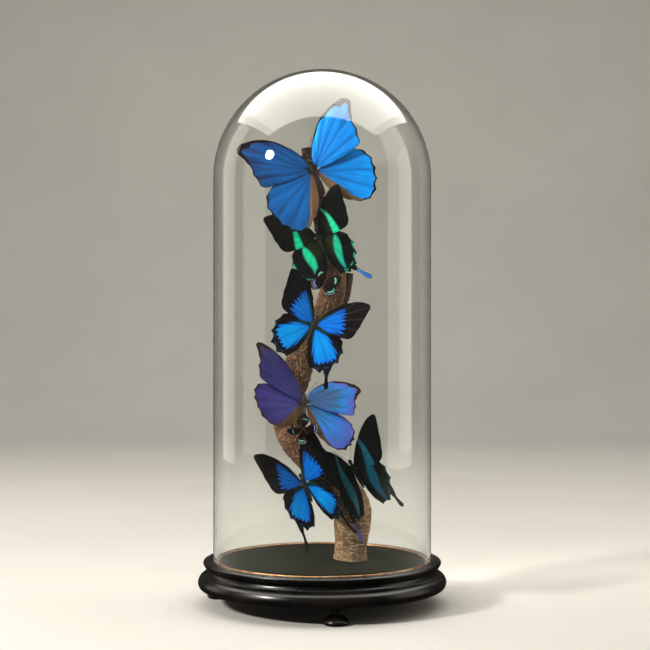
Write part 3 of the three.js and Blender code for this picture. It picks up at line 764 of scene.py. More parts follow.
def wing_scales(name, blues, ground=None, edge=None, fold=None, metal=0.45, bar=None,
                dust=None, lilac=None, ragged=0.5, shade=0.12, feather=0.3, rim=1.6,
                gloss=0.2):
    """The upper side of a wing: chitin scales, some with a blue shine and some dull with pigment.

    blues runs from the dullest to the brightest tone of the shining scales. They cover the whole
    wing where bar is None, and only the marked field where it is a colour for the field's rim.
    Each wing's place on blues comes from its sheen tone mark, a painted sheen that stands in for
    how its scales catch the light at its angle.
    ground is the colour of the other scales, from dark to light, and edge that of a morpho's
    margin. fold colours the bare fold along the body, dust the sprinkled scales between field and
    body, lilac the marginal crescents. ragged is how much the tone wanders along the rays, shade
    how much it drops beside a vein. feather and rim are how far a field's edge is blurred and how
    wide its rim is, in millimetres. metal and gloss are how metallic the shining scales are and
    how strongly they mirror.
    """
    material, add = new_material(name)
    names = ["share", "reach", "fore", "spread", "ribs", "tone"]
    names += ["edge", "fold"] if bar is None else ["bare", "field", "dust", "spots"]
    marks = {key: add("Attribute", out="Fac", attribute_name=key) for key in names}

    rays = add("CombineXYZ", [add("Math MULTIPLY", [marks["share"], 60]),
                              add("Math MULTIPLY", [marks["reach"], 3]), marks["fore"]])
    streaks = add("TexNoise", {"Vector": rays, "Scale": 1, "Detail": 4})
    place = add("TexCoord", out="Object")
    # Real scales are 0.1 mm long. They are drawn coarser, so that they show.
    scales = add("TexNoise", {"Vector": place, "Scale": 1 / (0.35 * MM), "Detail": 2})
    aside = add("Math MULTIPLY", [marks["spread"], add("Math PINGPONG", [marks["ribs"], 0.5])])
    vein = add("MapRange", [aside, 0.08, 0.42, 1, 0])
    # The sheen tone mark is painted sheen; random streaks and a drop beside each vein are added to
    # it.
    tone = add("Math MULTIPLY_ADD", [add("Math SUBTRACT", [streaks, 0.5]), ragged,
                                     marks["tone"]])
    tone = add("Math MULTIPLY_ADD", [add("MapRange", [aside, 0.3, 3, 1, 0]), -shade, tone])
    blue = add("ValToRGB", [tone], stops=blues)
    if bar is None:
        cloud = add("TexNoise", {"Vector": place, "Scale": 1 / (7 * MM), "Detail": 3})
        shining, folded = (
            add("MapRange", [add("Math MULTIPLY_ADD", [cloud, wander, mark]), -0.35, 0.35])
            for wander, mark in ((0.8, marks["edge"]), (0.9, marks["fold"])))
        tan = add("ValToRGB", [streaks], stops=[(0.3, fold[0]), (0.7, fold[1])])
        colour = linear(edge)
        layers = [(shining, blue), (add("Math MULTIPLY", [vein, 0.6]), linear(edge)),
                  (folded, tan)]
        shining = add("Math MULTIPLY", [shining, add("Math SUBTRACT", [1, folded])])
    else:
        worn = add("Math MULTIPLY_ADD", [streaks, 0.35, marks["bare"]])
        frayed = add("Math MULTIPLY_ADD", [add("Math SUBTRACT", [scales, 0.5]), 1.2,
                                           marks["field"]])
        shining = add("MapRange", [frayed, -feather, feather])
        sprinkled = add("MapRange", [scales, 0.42, 0.6, 0.15, 1])
        inner = add("Mix", {0: add("MapRange", [marks["field"], 0, rim, 0, 1]),
                            6: linear(bar), 7: blue}, 2, data_type="RGBA")
        spots = add("MapRange", [marks["spots"], -0.3, 0.3])
        colour = add("ValToRGB", [worn], stops=[(0.15, ground[0]), (0.9, ground[1])])
        layers = [(add("Math MULTIPLY", [marks["dust"], sprinkled]), linear(dust)),
                  (shining, inner),
                  (add("Math MULTIPLY", [vein, 0.5]), linear(ground[0])),
                  (add("Math MULTIPLY", [spots, 0.9]), linear(lilac))]
    for share, over in layers:
        colour = add("Mix", {0: share, 6: colour, 7: over}, 2, data_type="RGBA")
    add("OutputMaterial", [add("BsdfPrincipled", {
        "Base Color": colour, "Metallic": add("Math MULTIPLY", [shining, metal]),
        "Roughness": add("MapRange", [shining, 0, 1, 0.85, 0.46]),
        "Specular IOR Level": add("MapRange", [shining, 0, 1, 0.05, gloss]),
        "Normal": add("Bump", {"Height": add("Math ADD", [streaks, scales]),
                               "Distance": 0.08 * MM, "Strength": 0.5})})])
    return material


def wing_underside():
    """The underside of a wing: dull brown scales, with paler bands across its rays."""
    material, add = new_material("brown_wing_underside")
    place = add("TexCoord", out="Object")
    broad, fine = (add("TexNoise", {"Vector": place, "Scale": 1 / (size * MM), "Detail": 3})
                   for size in (9, 0.35))
    reach = add("Attribute", out="Fac", attribute_name="reach")
    wave = add("Math SINE", [add("Math MULTIPLY_ADD", [broad, 3, add("Math MULTIPLY",
                                                                    [reach, 19])])])
    colour = add("ValToRGB", [add("MapRange", [wave, -1, 1, 0, 1])],
                 stops=[(0.2, "#281b13"), (0.6, "#3d2b1e"), (0.95, "#5c4733")])
    add("OutputMaterial", [add("BsdfPrincipled", {
        "Base Color": colour, "Roughness": 0.7, "Specular IOR Level": 0.3,
        "Normal": add("Bump", {"Height": fine, "Distance": 0.06 * MM, "Strength": 0.5})})])
    return material


# ---- Sizes shown in the sidebar ------------------------------------------------------------

class GlassDomeGlass(bpy.types.PropertyGroup):
    wall: bpy.props.FloatProperty(
        name="Wall", description="Thickness of the glass", default=0.003,
        unit="LENGTH", subtype="DISTANCE")
    waves: bpy.props.FloatProperty(
        name="Waves", description="How far the blown wall wanders inwards", default=0.0002,
        unit="LENGTH", subtype="DISTANCE")
    sides: bpy.props.IntProperty(
        name="Sides", description="Faces round the dome", default=144)
    tint: bpy.props.FloatVectorProperty(
        name="Tint", description="Colour of the glass", default=linear("#fbfdfb"), size=4,
        min=0, max=1, subtype="COLOR")


class GlassDomeBranch(bpy.types.PropertyGroup):
    sides: bpy.props.IntProperty(name="Sides", description="Faces round the branch", default=170)
    steps: bpy.props.IntProperty(
        name="Steps", description="Rings between two places of its middle line", default=24)
    bark: bpy.props.FloatProperty(
        name="Bark", description="Depth of the cracks in the bark", default=0.0021,
        unit="LENGTH", subtype="DISTANCE")
    lumps: bpy.props.FloatProperty(
        name="Lumps", description="Height of the swellings under the bark", default=0.0012,
        unit="LENGTH", subtype="DISTANCE")


class GlassDomeInsects(bpy.types.PropertyGroup):
    wing: bpy.props.FloatProperty(
        name="Wing", description="Thickness of a wing", default=0.00022,
        unit="LENGTH", subtype="DISTANCE")
    pleat: bpy.props.FloatProperty(
        name="Pleats", description="Depth of the pleats between veins, as a share of the wing",
        default=0.005, subtype="FACTOR")
    droop: bpy.props.FloatProperty(
        name="Warp", description="How far dried wings have warped, as a share of the wing",
        default=0.012, subtype="FACTOR")
    pin: bpy.props.FloatProperty(
        name="Pin", description="Half thickness of a pin", default=0.00035,
        unit="LENGTH", subtype="DISTANCE")


class GlassDomeStage(bpy.types.PropertyGroup):
    lens: bpy.props.FloatProperty(
        name="Lens", description="Focal length of the camera", default=80.3,
        unit="CAMERA", subtype="DISTANCE_CAMERA")
    distance: bpy.props.FloatProperty(
        name="Distance", description="Camera to the middle of the dome", default=1.468,
        unit="LENGTH", subtype="DISTANCE")
    height: bpy.props.FloatProperty(
        name="Height", description="Height of the camera", default=0.281,
        unit="LENGTH", subtype="DISTANCE")
    shade: bpy.props.FloatVectorProperty(
        name="Shade", description="Colour of the floor ahead of the display",
        default=linear("#6b6964"), size=4, min=0, max=1, subtype="COLOR")
    room: bpy.props.FloatVectorProperty(
        name="Room", description="Colour of the room's own light", default=linear("#dcdad4"),
        size=4, min=0, max=1, subtype="COLOR")


# ---- Base, feet and ring -------------------------------------------------------------------

def base_piece():
    """The turned base: its mouldings are splines through a few places of the profile."""
    torus = spline([(120.8, BASE_BOTTOM_Z), (123.8, 18.2), (125.3, 22.4), (123.6, 27.8),
                    (120.6, 30.2)], 8)
    hollow = spline([(119.8, 31.2), (117.6, 32.6), (116.2, 34.6), (115.8, 36.6), (117.2, 38.9)],
                    8)
    bead = spline([(118.6, 39.7), (119.8, 40.9), (119.9, 42.9), (118.8, 44.1), (117, 44.6)], 6)
    groove = [(110.75, 44.6), (GROOVE_OUTER, 44.2), (GROOVE_OUTER, GROOVE_FLOOR_Z),
              (GROOVE_INNER, GROOVE_FLOOR_Z), (GROOVE_INNER, SHELF_Z)]
    disc = [(DISC_RADIUS, SHELF_Z), (DISC_RADIUS, FLOOR_Z - EASED),
            (DISC_RADIUS - EASED, FLOOR_Z)]
    rings = [(radius, FLOOR_Z) for radius in np.linspace(DISC_RADIUS - 4, 0, 24)]
    wood = np.array([(0, BASE_BOTTOM_Z), (60, BASE_BOTTOM_Z), *torus, (119.8, 30.4), *hollow,
                     (118.6, 38.9), *bead, *groove])
    wood[:, 0] = np.minimum(wood[:, 0], BASE_HIGH[0])
    profile = np.vstack([wood, disc, rings])
    sides = 192
    painted = np.repeat(np.arange(len(profile) - 1) >= len(wood) - 1, sides)
    return turned_piece("ebonised_base", profile, sides, [ebonised_wood(), painted_board()], 30,
                        "ebonised_wood", "base_turned", painted)


def foot_piece(node_name, wood):
    """One turned foot, in the middle of the box of its solid."""
    low, high = box_mm(node_name)
    profile = np.vstack([
        [(0, 0), (10.6, 0)],
        spline([(11.3, 0.15), (12.6, 1.9), (12, 4.2), (9.6, 6.6), (6.6, 8.8), (5.3, 11.2),
                (5.8, 13.4), (7.4, 14.8)], 7),
        [(8, 15), (8, high[2]), (0, high[2])]])
    return turned_piece("turned_" + node_name, profile, 64, [wood], 35, "ebonised_wood",
                        node_name, shift=lambda points: np.append((low + high)[:2] / 2, 0))


def ring_piece():
    """The gilt ring round the disc: a half-round bead, struck by hand a little unevenly."""
    low, high = box_mm("gilt_ring")
    turn = np.linspace(0, np.pi, 9)
    inner = RING_OUTER - RING_WIDTH
    half = RING_WIDTH / 2
    crown = np.stack([RING_OUTER - half + half * np.cos(turn),
                      high[2] - half + half * np.sin(turn)], axis=-1)
    profile = np.vstack([[(inner, low[2]), (RING_OUTER, low[2])], crown, [(inner, low[2])]])

    def dents(points):
        uneven = 1 + noise(points, RING_DENT_SIZE, RING_SEED)
        depth = RING_DENT * uneven * (points[:, 2] > high[2] - half)
        return np.outer(depth, [0, 0, -1])

    return turned_piece("gilt_bead_ring", profile, 240, [copper_gilt()], 50, "copper_gilt",
                        "gilt_ring", shift=dents)


# ---- Glass ---------------------------------------------------------------------------------

def dome_piece(sizes):
    """The glass: a straight wall under half a sphere, and the same again a wall inside it.

    Both walls wander inwards by waves of seeded noise. The foot is ground round.
    """
    wall = sizes.wall / MM
    arc = np.linspace(0, np.pi / 2, 40)
    rows = np.linspace(DOME_FOOT_Z + DOME_LIP, DOME_SHOULDER_Z, 60)[:-1]

    def side(radius):
        return np.vstack([
            np.stack([np.full(len(rows), radius), rows], axis=-1),
            np.stack([radius * np.cos(arc), DOME_SHOULDER_Z + radius * np.sin(arc)], axis=-1)])

    lip = np.linspace(-np.pi, 0, 9)[1:-1]
    rim = np.stack([DOME_RADIUS - wall / 2 + wall / 2 * np.cos(lip),
                    DOME_FOOT_Z + DOME_LIP + DOME_LIP * np.sin(lip)], axis=-1)
    profile = np.vstack([side(DOME_RADIUS - wall)[::-1], rim, side(DOME_RADIUS)])
    profile[profile[:, 0] < 1e-6, 0] = 0

    def waves(points):
        inwards = sizes.waves / MM * 0.5 * (1 + noise(points, WAVE_SIZE, GLASS_SEED))
        return points * [-1, -1, 0] * (inwards / DOME_RADIUS)[:, None]

    dome = turned_piece("blown_glass_dome", profile, sizes.sides, [clear_glass(sizes.tint)], 60,
                        "clear_glass", "glass_dome", shift=waves)
    dome.visible_shadow = False


# ---- Branch --------------------------------------------------------------------------------

def bark_stem(line, sides, steps, sizes, seed):
    """A stem with bark: a tube whose radius is that of its line, plus swellings and bark.

    The bark is noise in the stem's own measures, drawn out along it, and across it near the foot.
    Its height from 0 to 1 is kept as the relief mark.
    """
    curve = spline(line, steps)
    path, radii = curve[:, :3], curve[:, 3:]
    angle = np.linspace(0, 2 * np.pi, sides, endpoint=False)[None, :]
    step = np.linalg.norm(np.diff(path, axis=0), axis=1)
    along = np.concatenate([[0], np.cumsum(step)])[:, None]
    reach = along / along[-1]

    def stretched(across_mm, along_mm, key):
        place = np.stack(np.broadcast_arrays(radii * np.cos(angle) / across_mm,
                                             radii * np.sin(angle) / across_mm,
                                             along / along_mm), axis=-1)
        return noise(place, 1, seed + key)

    # Plates of two sizes over most of the stem, and wrinkles round its foot.
    broad = stretched(2.6, 5, 0) + 0.6 * stretched(1.7, 2.4, 1)
    small = stretched(1.2, 1.7, 2) + 0.5 * stretched(0.9, 1.1, 3)
    plates = 0.4 * smoothstep(0, 0.6, np.abs(broad)) + 0.6 * smoothstep(0, 0.7, np.abs(small))
    wrinkles = smoothstep(0.02, 0.5, np.abs(stretched(12, 0.9, 4) + 0.5 * stretched(4, 0.7, 5)))
    rough = smoothstep(0.11, 0.2, reach) * (1 - 0.45 * smoothstep(0.5, 0.75, reach))
    height = (rough * (plates + 0.12 * stretched(0.9, 1.2, 6))
              + (1 - rough) * (0.45 + 0.35 * wrinkles + 0.12 * small))
    lumps = sizes.lumps / MM * (stretched(14, 30, 7) + 0.4 * stretched(6, 12, 8))
    depth = sizes.bark / MM * np.minimum(1, radii / FULL_BARK)
    swollen = radii * BARK_FROM + lumps + depth * (height - 0.6)
    points, faces = tube(path, swollen, sides)
    marks = np.clip(np.vstack([height[:1], height, height[-1:]]), 0, 1.2).ravel()
    place = np.repeat(np.concatenate([[0], reach[:, 0], [1]]), sides)
    ends = np.zeros(len(faces), int)
    ends[:sides] = ends[-sides:] = 1
    return points, faces, ends, {"relief": marks, "along": place}


def branch_piece(sizes):
    """The branch with the stump of a dead shoot behind it."""
    shape = Shape()
    for line, sides, steps, seed in ((BRANCH_LINE, sizes.sides, sizes.steps, BRANCH_SEED),
                                     (SHOOT_LINE, 64, 20, SHOOT_SEED)):
        points, faces, ends, marks = bark_stem(line, sides, steps, sizes, seed)
        if line is SHOOT_LINE:
            marks["along"] = np.full(len(points), SHOOT_LIKE)
        points[:, 2] = np.maximum(points[:, 2], box_mm("branch")[0][2])
        shape.add(points, faces, ends, marks)
    return settle(shape.build("bark_branch", [old_bark(), sawn_wood()], 50), "bark", "branch")


# ---- Butterflies ---------------------------------------------------------------------------

def body_axes(insect):
    """An insect's right, head and back directions, as rows."""
    heading, pitch = np.radians([insect["heading"], insect["pitch"]])
    up = np.array([np.cos(heading), 0, np.sin(heading)])
    front = np.array([0, -1, 0])
    head = np.cos(pitch) * up + np.sin(pitch) * front
    back = np.cos(pitch) * front - np.sin(pitch) * up
    return np.array([np.cross(head, back), head, back])


def wing_axes(insect, side, pair):
    """A wing's hinge, and its directions out, towards the tail end and off its upper side."""
    raised, sweep, twist = np.radians(insect[side][pair])
    sign = -1 if side == "left" else 1
    outward = np.array([sign * np.cos(raised), 0, np.sin(raised)])
    above = np.array([-sign * np.sin(raised), 0, np.cos(raised)])
    forward = np.array([0, 1, 0])
    span = np.cos(sweep) * outward + np.sin(sweep) * forward
    level = np.sin(sweep) * outward - np.cos(sweep) * forward
    chord = np.cos(twist) * level + np.sin(twist) * above
    top = np.cross(span, chord)
    top *= np.sign(top @ above)
    hinge = np.array([sign * HINGE_OUT, HINGE_ALONG if pair == "fore" else -HINGE_ALONG, 0])
    return hinge * insect["length"], span, chord, top


def marking(places, drawing):
    """Distance inside a drawn mark: a stroke if its rows have a half width, else an area."""
    if len(drawing[0]) == 3:
        return stroke_field(places, spline(drawing, 5))
    return area_field(places, spline(drawing, 5, closed=True))


def wing_marks(insect, side, pair, places, outline, share, reach):
    """A wing's marks for each of its points. Distances are in millimetres, positive inside."""
    kind = insect["kind"]
    length = insect["length"]
    late = 0 if pair == "fore" else 1
    count = kind["veins"][late]
    perimeter = np.linalg.norm(np.diff(outline, axis=0), axis=1).sum() * length
    marks = {
        "share": share, "reach": reach, "fore": np.full(len(places), 1.0 - late),
        # The sheen tone is painted sheen: each wing's given brightness stands in for how its scales
        # catch the light.
        "tone": np.interp(reach, [0.1, 0.5, 0.95], insect["sheen_tones"][side][late]),
        "ribs": share * count, "spread": reach * perimeter / count,
    }
    margin = area_field(places, outline) * length
    width = np.interp(share, *kind["edges"][late]) * length / EDGE_FOREWING
    marks["edge"] = margin - width * (1 + 0.2 * np.cos(2 * np.pi * count * share))
    marks["fold"] = marks["spots"] = np.full(len(places), -1.0)
    if kind["fold"] and late:
        marks["fold"] = area_field(places, kind["fold"]) * length
    if insect["wings"] in FIELDS:
        field = marking(places, FIELDS[insect["wings"]][late]) - insect.get("thin", 0)
        teeth = 0.5 + 0.5 * np.cos(2 * np.pi * count * share)
        if insect["wings"] == "azure_field_scales":
            # The dark margin runs into the blue in uneven spikes, more so away from the body.
            outer = smoothstep(0.26, 0.44, np.linalg.norm(places, axis=1))
            wander = noise(np.column_stack([share * 9, 0 * share + late, 0 * share]), 1,
                           SPIKE_SEED)
            spikes = np.abs(2 * ((share * (19 + 6 * late) + 0.25 * wander) % 1) - 1)
            field -= outer * ((0.1 - 0.045 * late) * spikes ** 1.4 * (1 + 0.4 * wander) - 0.02)
        marks["field"] = field * length
        away = smoothstep(0.5, 0.62, reach) * (1 - late)
        marks["bare"] = away * (1 - teeth) ** 22 * insect[side].get("bare", 0.2)
        marks["dust"] = (1 - smoothstep(0, 0.3, -field)) * (1 - smoothstep(0.35, 0.6, reach))
        if late:
            drawings = DASHES if kind in (SMALL, SMALL_NARROW) else CRESCENTS
            marks["spots"] = length * np.max([marking(places, drawn) for drawn in drawings],
                                             axis=0)
    return marks


def wing_part(insect, side, pair, sizes):
    """One wing: places = reach * outline(share), from the hinge out to the margin.

    The margin is scalloped between the veins. The sheet stands off its plane by pleats between
    the veins, a slight bow, and the warp of a dried wing.
    """
    kind = insect["kind"]
    length = insect["length"]
    late = 0 if pair == "fore" else 1
    depth, lobes = kind["scallops"][late]
    count = kind["veins"][late]
    curve = spline(kind[pair] + [(0, 0)], 16)
    step = np.linalg.norm(np.diff(curve, axis=0), axis=1)
    travel = np.concatenate([[0], np.cumsum(step)]) / step.sum()
    share = np.linspace(FIRST_RAY, LAST_RAY, RAYS)
    outline = np.stack([np.interp(share, travel, curve[:, axis]) for axis in (0, 1)], axis=-1)
    # There are no scallops along the front edge, nor along the inner edge next to the body.
    start = 0.42 - 0.16 * late
    free = smoothstep(start - 0.06, start + 0.04, share) * (1 - smoothstep(0.8, 0.92, share))
    outline *= (1 - depth * free * np.abs(np.sin(np.pi * lobes * share)) ** 0.7)[:, None]
    reach = np.linspace(0, 1, STEPS)[:, None, None]
    places = (reach * outline[None]).reshape(-1, 2)
    shares = np.tile(share, STEPS)
    reaches = np.repeat(reach.ravel(), RAYS)
    pleats = np.abs(np.sin(np.pi * count * shares)) * sizes.pleat * reaches
    bow = 0.05 * reaches * (1 - reaches) * np.sin(np.pi * shares)
    seed = WARP_SEED + 2 * late + (side == "left")
    warp = sizes.droop * noise(np.column_stack([places, 0 * shares + length]), 0.55, seed)
    lift = length * (pleats + bow + warp * reaches) + SHEET_GAP * (1 - 2 * late)
    hinge, span, chord, top = wing_axes(insect, side, pair)
    points = hinge + length * places @ np.array([span, chord]) + lift[:, None] * top
    faces = grid_faces(STEPS, RAYS, False)
    if np.cross(span, chord) @ top > 0:
        faces = faces[:, ::-1]
    marks = wing_marks(insect, side, pair, places, np.vstack([[0, 0], outline]), shares, reaches)
    return points, faces, marks


def tail_part(insect, side):
    """A swallowtail's tail: a strip with a narrow neck and a spoon-shaped blade."""
    angle, share, blue = insect[side]["tail"]
    turn = math.radians(angle)
    length = insect["length"]
    along = np.linspace(TAIL_START, 1, 44)[:, None]
    across = np.linspace(-1, 1, 9)[None, :]
    half = np.interp(along, [TAIL_START, 0, 0.12, 0.35, 0.55, 0.8, 0.92, 0.98, 1],
                     [0.05, 0.05, 0.03, TAIL_NECK, 0.03, TAIL_BLADE, 0.034, 0.018, 0.004])
    out = across * half
    down = along * share + 0 * across
    places = TAIL_ROOT + np.stack([out * np.cos(turn) + down * np.sin(turn),
                                   down * np.cos(turn) - out * np.sin(turn)], axis=-1)
    places = places.reshape(-1, 2)
    inside = (half * 0.85 - np.abs(out)) * smoothstep(0.05, 0.3, along) - 0.003
    inside = np.where(along < 0.05, -0.05, inside).ravel() * length
    hinge, span, chord, top = wing_axes(insect, side, "hind")
    curl = 0.05 * np.sin(np.pi * np.clip(along, 0, 1)) * share + 0.006 * across ** 2
    lift = length * (curl + 0 * across).ravel() - TAIL_GAP
    points = hinge + length * places @ np.array([span, chord]) + lift[:, None] * top
    faces = grid_faces(len(along), across.size, False)
    if np.cross(span, chord) @ top < 0:
        faces = faces[:, ::-1]
    full = np.ones(len(places))
    marks = {"share": full * 0.5, "reach": 0.8 * full, "ribs": 0.5 * full, "edge": full,
             "spots": -full, "fold": -full, "tone": full * 0, "spread": 9 * full,
             "field": 4 * inside if blue else -full}
    return points, faces, marks


def needles(roots, tips, width):
    """Hairs: three-sided spikes from roots to tips, width across, marked 0 to 1 along them."""
    ahead = unit(tips - roots)
    across = unit(np.cross(ahead, np.array([0.31, 0.87, 0.38])))
    up = np.cross(ahead, across)
    corners = [roots + width / 2 * (math.cos(turn) * across + math.sin(turn) * up)
               for turn in (0, 2 * math.pi / 3, 4 * math.pi / 3)]
    points = np.stack([*corners, tips], axis=1).reshape(-1, 3)
    first = 4 * np.arange(len(roots))[:, None]
    faces = np.concatenate([first + [0, 1, 3], first + [1, 2, 3], first + [2, 0, 3],
                            first + [2, 1, 0]])
    return points, faces, {"hair": np.tile([0.05, 0.05, 0.05, 1], len(roots))}


def trunk_part(insect):
    """Head, thorax and ringed abdomen: a spline profile turned about the line from tail to head.

    Returns the profile too, as radius and place along that line.
    """
    kind = insect["kind"]
    girth = kind["girth"] * insect["length"]
    profile = spline([(0, -0.66), (0.3, -0.63), (0.58, -0.5), (0.74, -0.32), (0.62, -0.16),
                      (0.86, -0.09), (1.02, 0.02), (0.9, 0.13), (0.44, 0.185), (0.58, 0.24),
                      (0.56, 0.29), (0.3, 0.33), (0, 0.34)], 9)
    profile[:, 0] = np.clip(profile[:, 0], 0, None)
    # The abdomen bulges a little between the joints of its rings.
    rings = (profile[:, 1] < -0.17) * (0.07 * np.abs(np.sin(profile[:, 1] * 52)))
    radius = profile[:, 0] * girth * (1 + rings - 0.035)
    height = profile[:, 1] * kind["body"] * insect["length"]
    points, faces = turned(np.stack([radius, height], axis=-1), 28)
    points = points[:, [0, 2, 1]] * [1, 1, -1]
    return points, faces, np.stack([radius, height], axis=-1)


def fur_part(insect, profile, seed):
    """Hairs on the trunk, longest on the thorax, combed towards the tail."""
    kind = insect["kind"]
    length = insect["length"]
    rng = np.random.default_rng(seed)
    count = kind["hairs"]
    height = rng.uniform(-0.6, 0.31, count) * kind["body"] * length
    radius = np.interp(height, profile[:, 1], profile[:, 0])
    turn = rng.uniform(0, 2 * np.pi, count)
    outward = np.stack([np.cos(turn), 0 * turn, np.sin(turn)], axis=-1)
    roots = radius[:, None] * outward * 0.95 + np.array([0, 1, 0]) * height[:, None]
    thorax = np.exp(-(height / (0.2 * kind["body"] * length)) ** 2)
    long = kind["girth"] * length * rng.uniform(0.25, 0.5, count) * (0.35 + 1.3 * thorax)
    lean = outward * 0.55 + np.array([0, -1, 0]) + rng.normal(0, 0.22, (count, 3))
    width = 0.11 * length / LIMB_FOREWING + 0.02
    return needles(roots, roots + unit(lean) * long[:, None], width)


def limb_parts(insect):
    """Six folded legs and two antennae, in the insect's own axes, as bent tapering tubes."""
    kind = insect["kind"]
    length = insect["length"]
    girth = kind["girth"] * length
    body = kind["body"] * length
    parts = []
    for sign in (-1, 1):
        for place in (0.7, -0.1, -0.9):
            knees = np.array([(0.3, place, -0.5), (0.95, place + 0.25, -1.1),
                              (1.05, place - 0.45, -1.9), (1.3, place - 0.5, -2.4)])
            curve = spline(knees * girth * [sign, 1, 1], 7)
            thick = np.interp(np.linspace(0, 1, len(curve)), [0, 0.35, 0.4, 1],
                              [0.3, 0.22, 0.17, 0.08]) * length / LIMB_FOREWING
            parts.append(tube(curve, thick, 7))
        feeler = spline([(sign * 0.25 * girth, 0.28 * body, 0.1 * girth),
                         (sign * 0.14 * body, 0.5 * body, 0.5 * girth),
                         (sign * 0.24 * body, 0.68 * body, 0.55 * girth),
                         (sign * 0.3 * body, 0.78 * body, 0.5 * girth)], 12)
        thick = np.interp(np.linspace(0, 1, len(feeler)), [0, 0.8, 0.93, 1],
                          [0.14, 0.13, 0.34, 0.16]) * length / LIMB_FOREWING
        parts.append(tube(feeler, thick, 8))
    return parts


def eye_parts(insect):
    """Two bulging eyes, at the sides of the head."""
    girth = insect["kind"]["girth"] * insect["length"]
    middle = 0.262 * insect["kind"]["body"] * insect["length"]
    turn = np.linspace(-np.pi / 2, np.pi / 2, 13)
    ball = np.stack([np.abs(np.cos(turn)) * EYE_SIZE, EYE_SIZE * np.sin(turn)], axis=-1) * girth
    points, faces = turned(ball, 18)
    return [(points + [sign * 0.42 * girth, middle, 0.08 * girth], faces) for sign in (-1, 1)]


def pin_parts(insect, radius):
    """The pin through the thorax into the nearest wood: its shaft, and the ball of its head.

    Both are in the frame, not in the insect's axes.
    """
    thorax = np.array(insect["thorax"], float)
    starts, spans = BRANCH_LINE[:-1], np.diff(BRANCH_LINE, axis=0)
    share = np.clip(np.einsum("ij,ij->i", thorax - starts[:, :3], spans[:, :3])
                    / np.einsum("ij,ij->i", spans[:, :3], spans[:, :3]), 0, 1)
    places = starts + share[:, None] * spans
    wood = places[np.argmin(np.linalg.norm(places[:, :3] - thorax, axis=1))]
    inward = unit(wood[:3] - thorax)
    back = body_axes(insect)[2]
    top = (thorax + 0.5 * insect["kind"]["girth"] * insect["length"] * back
           - PIN_ABOVE * inward)
    point = wood[:3] + inward * (PIN_DEPTH - wood[3])
    path = top + (point - top) * np.linspace(0, 1, 12)[:, None]
    shaft = tube(path, np.append(np.full(11, radius), PIN_TIP), 10)
    turn = np.linspace(-np.pi / 2, np.pi / 2, 9)
    globe = np.stack([np.abs(np.cos(turn)), np.sin(turn)], axis=-1)
    ball, faces = turned(globe * PIN_HEAD * radius, 12)
    return [shaft, (ball + top, faces)]


def insect_pieces(name, insect, finishes, sizes, seed):
    """The two pieces of an insect: its wings as one, its body, limbs and pin as the other."""
    axes = body_axes(insect)
    thorax = np.array(insect["thorax"], float)
    wings = Shape()
    for side in ("left", "right"):
        for pair in ("hind", "fore"):
            points, faces, marks = wing_part(insect, side, pair, sizes)
            wings.add(thorax + points @ axes, faces, 0, marks)
        if "tail" in insect[side]:
            points, faces, marks = tail_part(insect, side)
            wings.add(thorax + points @ axes, faces, 0, marks)
    sheet = wings.build(name + "_wings", [finishes[insect["wings"]], finishes["underside"]], 60)
    thicken = sheet.modifiers.new("thickness", "SOLIDIFY")
    thicken.thickness = sizes.wing
    thicken.offset = -1
    thicken.material_offset = 1
    settle(sheet, insect["slot"], name)
    body = Shape()
    points, faces, profile = trunk_part(insect)
    body.add(thorax + points @ axes, faces)
    for points, faces in eye_parts(insect):
        body.add(thorax + points @ axes, faces, 1)
    for points, faces in limb_parts(insect):
        body.add(thorax + points @ axes, faces)
    points, faces, marks = fur_part(insect, profile, seed)
    body.add(thorax + points @ axes, faces, 0, marks)
    for points, faces in pin_parts(insect, sizes.pin / MM):
        body.add(points, faces, 2)
    trunk = body.build(name + "_body", [finishes["hide"], finishes["eyes"], finishes["pin"]])
    settle(trunk, insect["slot"], name)


def build_insects(insects, body_colours, first_seed, sizes):
    """Builds a family of insects, each with the scales it names and all with one body finish."""
    finishes = {"underside": wing_underside(), "hide": insect_hide(*body_colours),
                "eyes": eye_horn(), "pin": pin_steel()}
    for name in sorted({insect["wings"] for insect in insects.values()}):
        finishes[name] = wing_scales(name, **SCALES[name])
    for seed, (name, insect) in enumerate(insects.items(), first_seed):
        insect_pieces(name, insect, finishes, sizes, seed)


# ---- Stage ---------------------------------------------------------------------------------

FLOOR_FRONT_Y, FLOOR_HALF_WIDTH = -3500, 5000
SWEEP_Y, SWEEP_RADIUS, WALL_TOP_Z = 2000, 900, 4200
SHADE_FROM_TO_Y = (-0.26, -0.75)        # metres, as the floor's material reads them
WORLD_IN_MIRRORS, WORLD_SEEN = 0.05, 0.22
CAMERA_X = 0.00284
SENSOR_MM = 36
# Each lamp: its place, what it faces and its size in metres, its watts and its colour. The strips
# stand upright in the glass, the key is the small round spot on it, and the ceiling glow, which
# lights nothing, is the bright cap at its top.
LAMPS = {
    "right_strip": ((1.3, -0.07, 0.72), (0, 0, 0.72), (0.8, 1.4), 4.5, "#fff6ea"),
    "left_strip": ((-1.3, 0.55, 0.72), (0, 0.2, 0.72), (0.6, 1.4), 3, "#fff6ea"),
    "overhead": ((0, 0.3, 2.1), (0, 0.3, 0), (3.6, 2.5), 40, "#fffaf2"),
    "ceiling_glow": ((0, 0.65, 2.12), (0, 0.65, 0), (4.4, 3.2), 120, "#fffaf2"),
    "key": ((-1.25, -0.85, 0.93), (0, 0, 0.27), (0.23, 0.23), 22, "#fffaf2"),
}


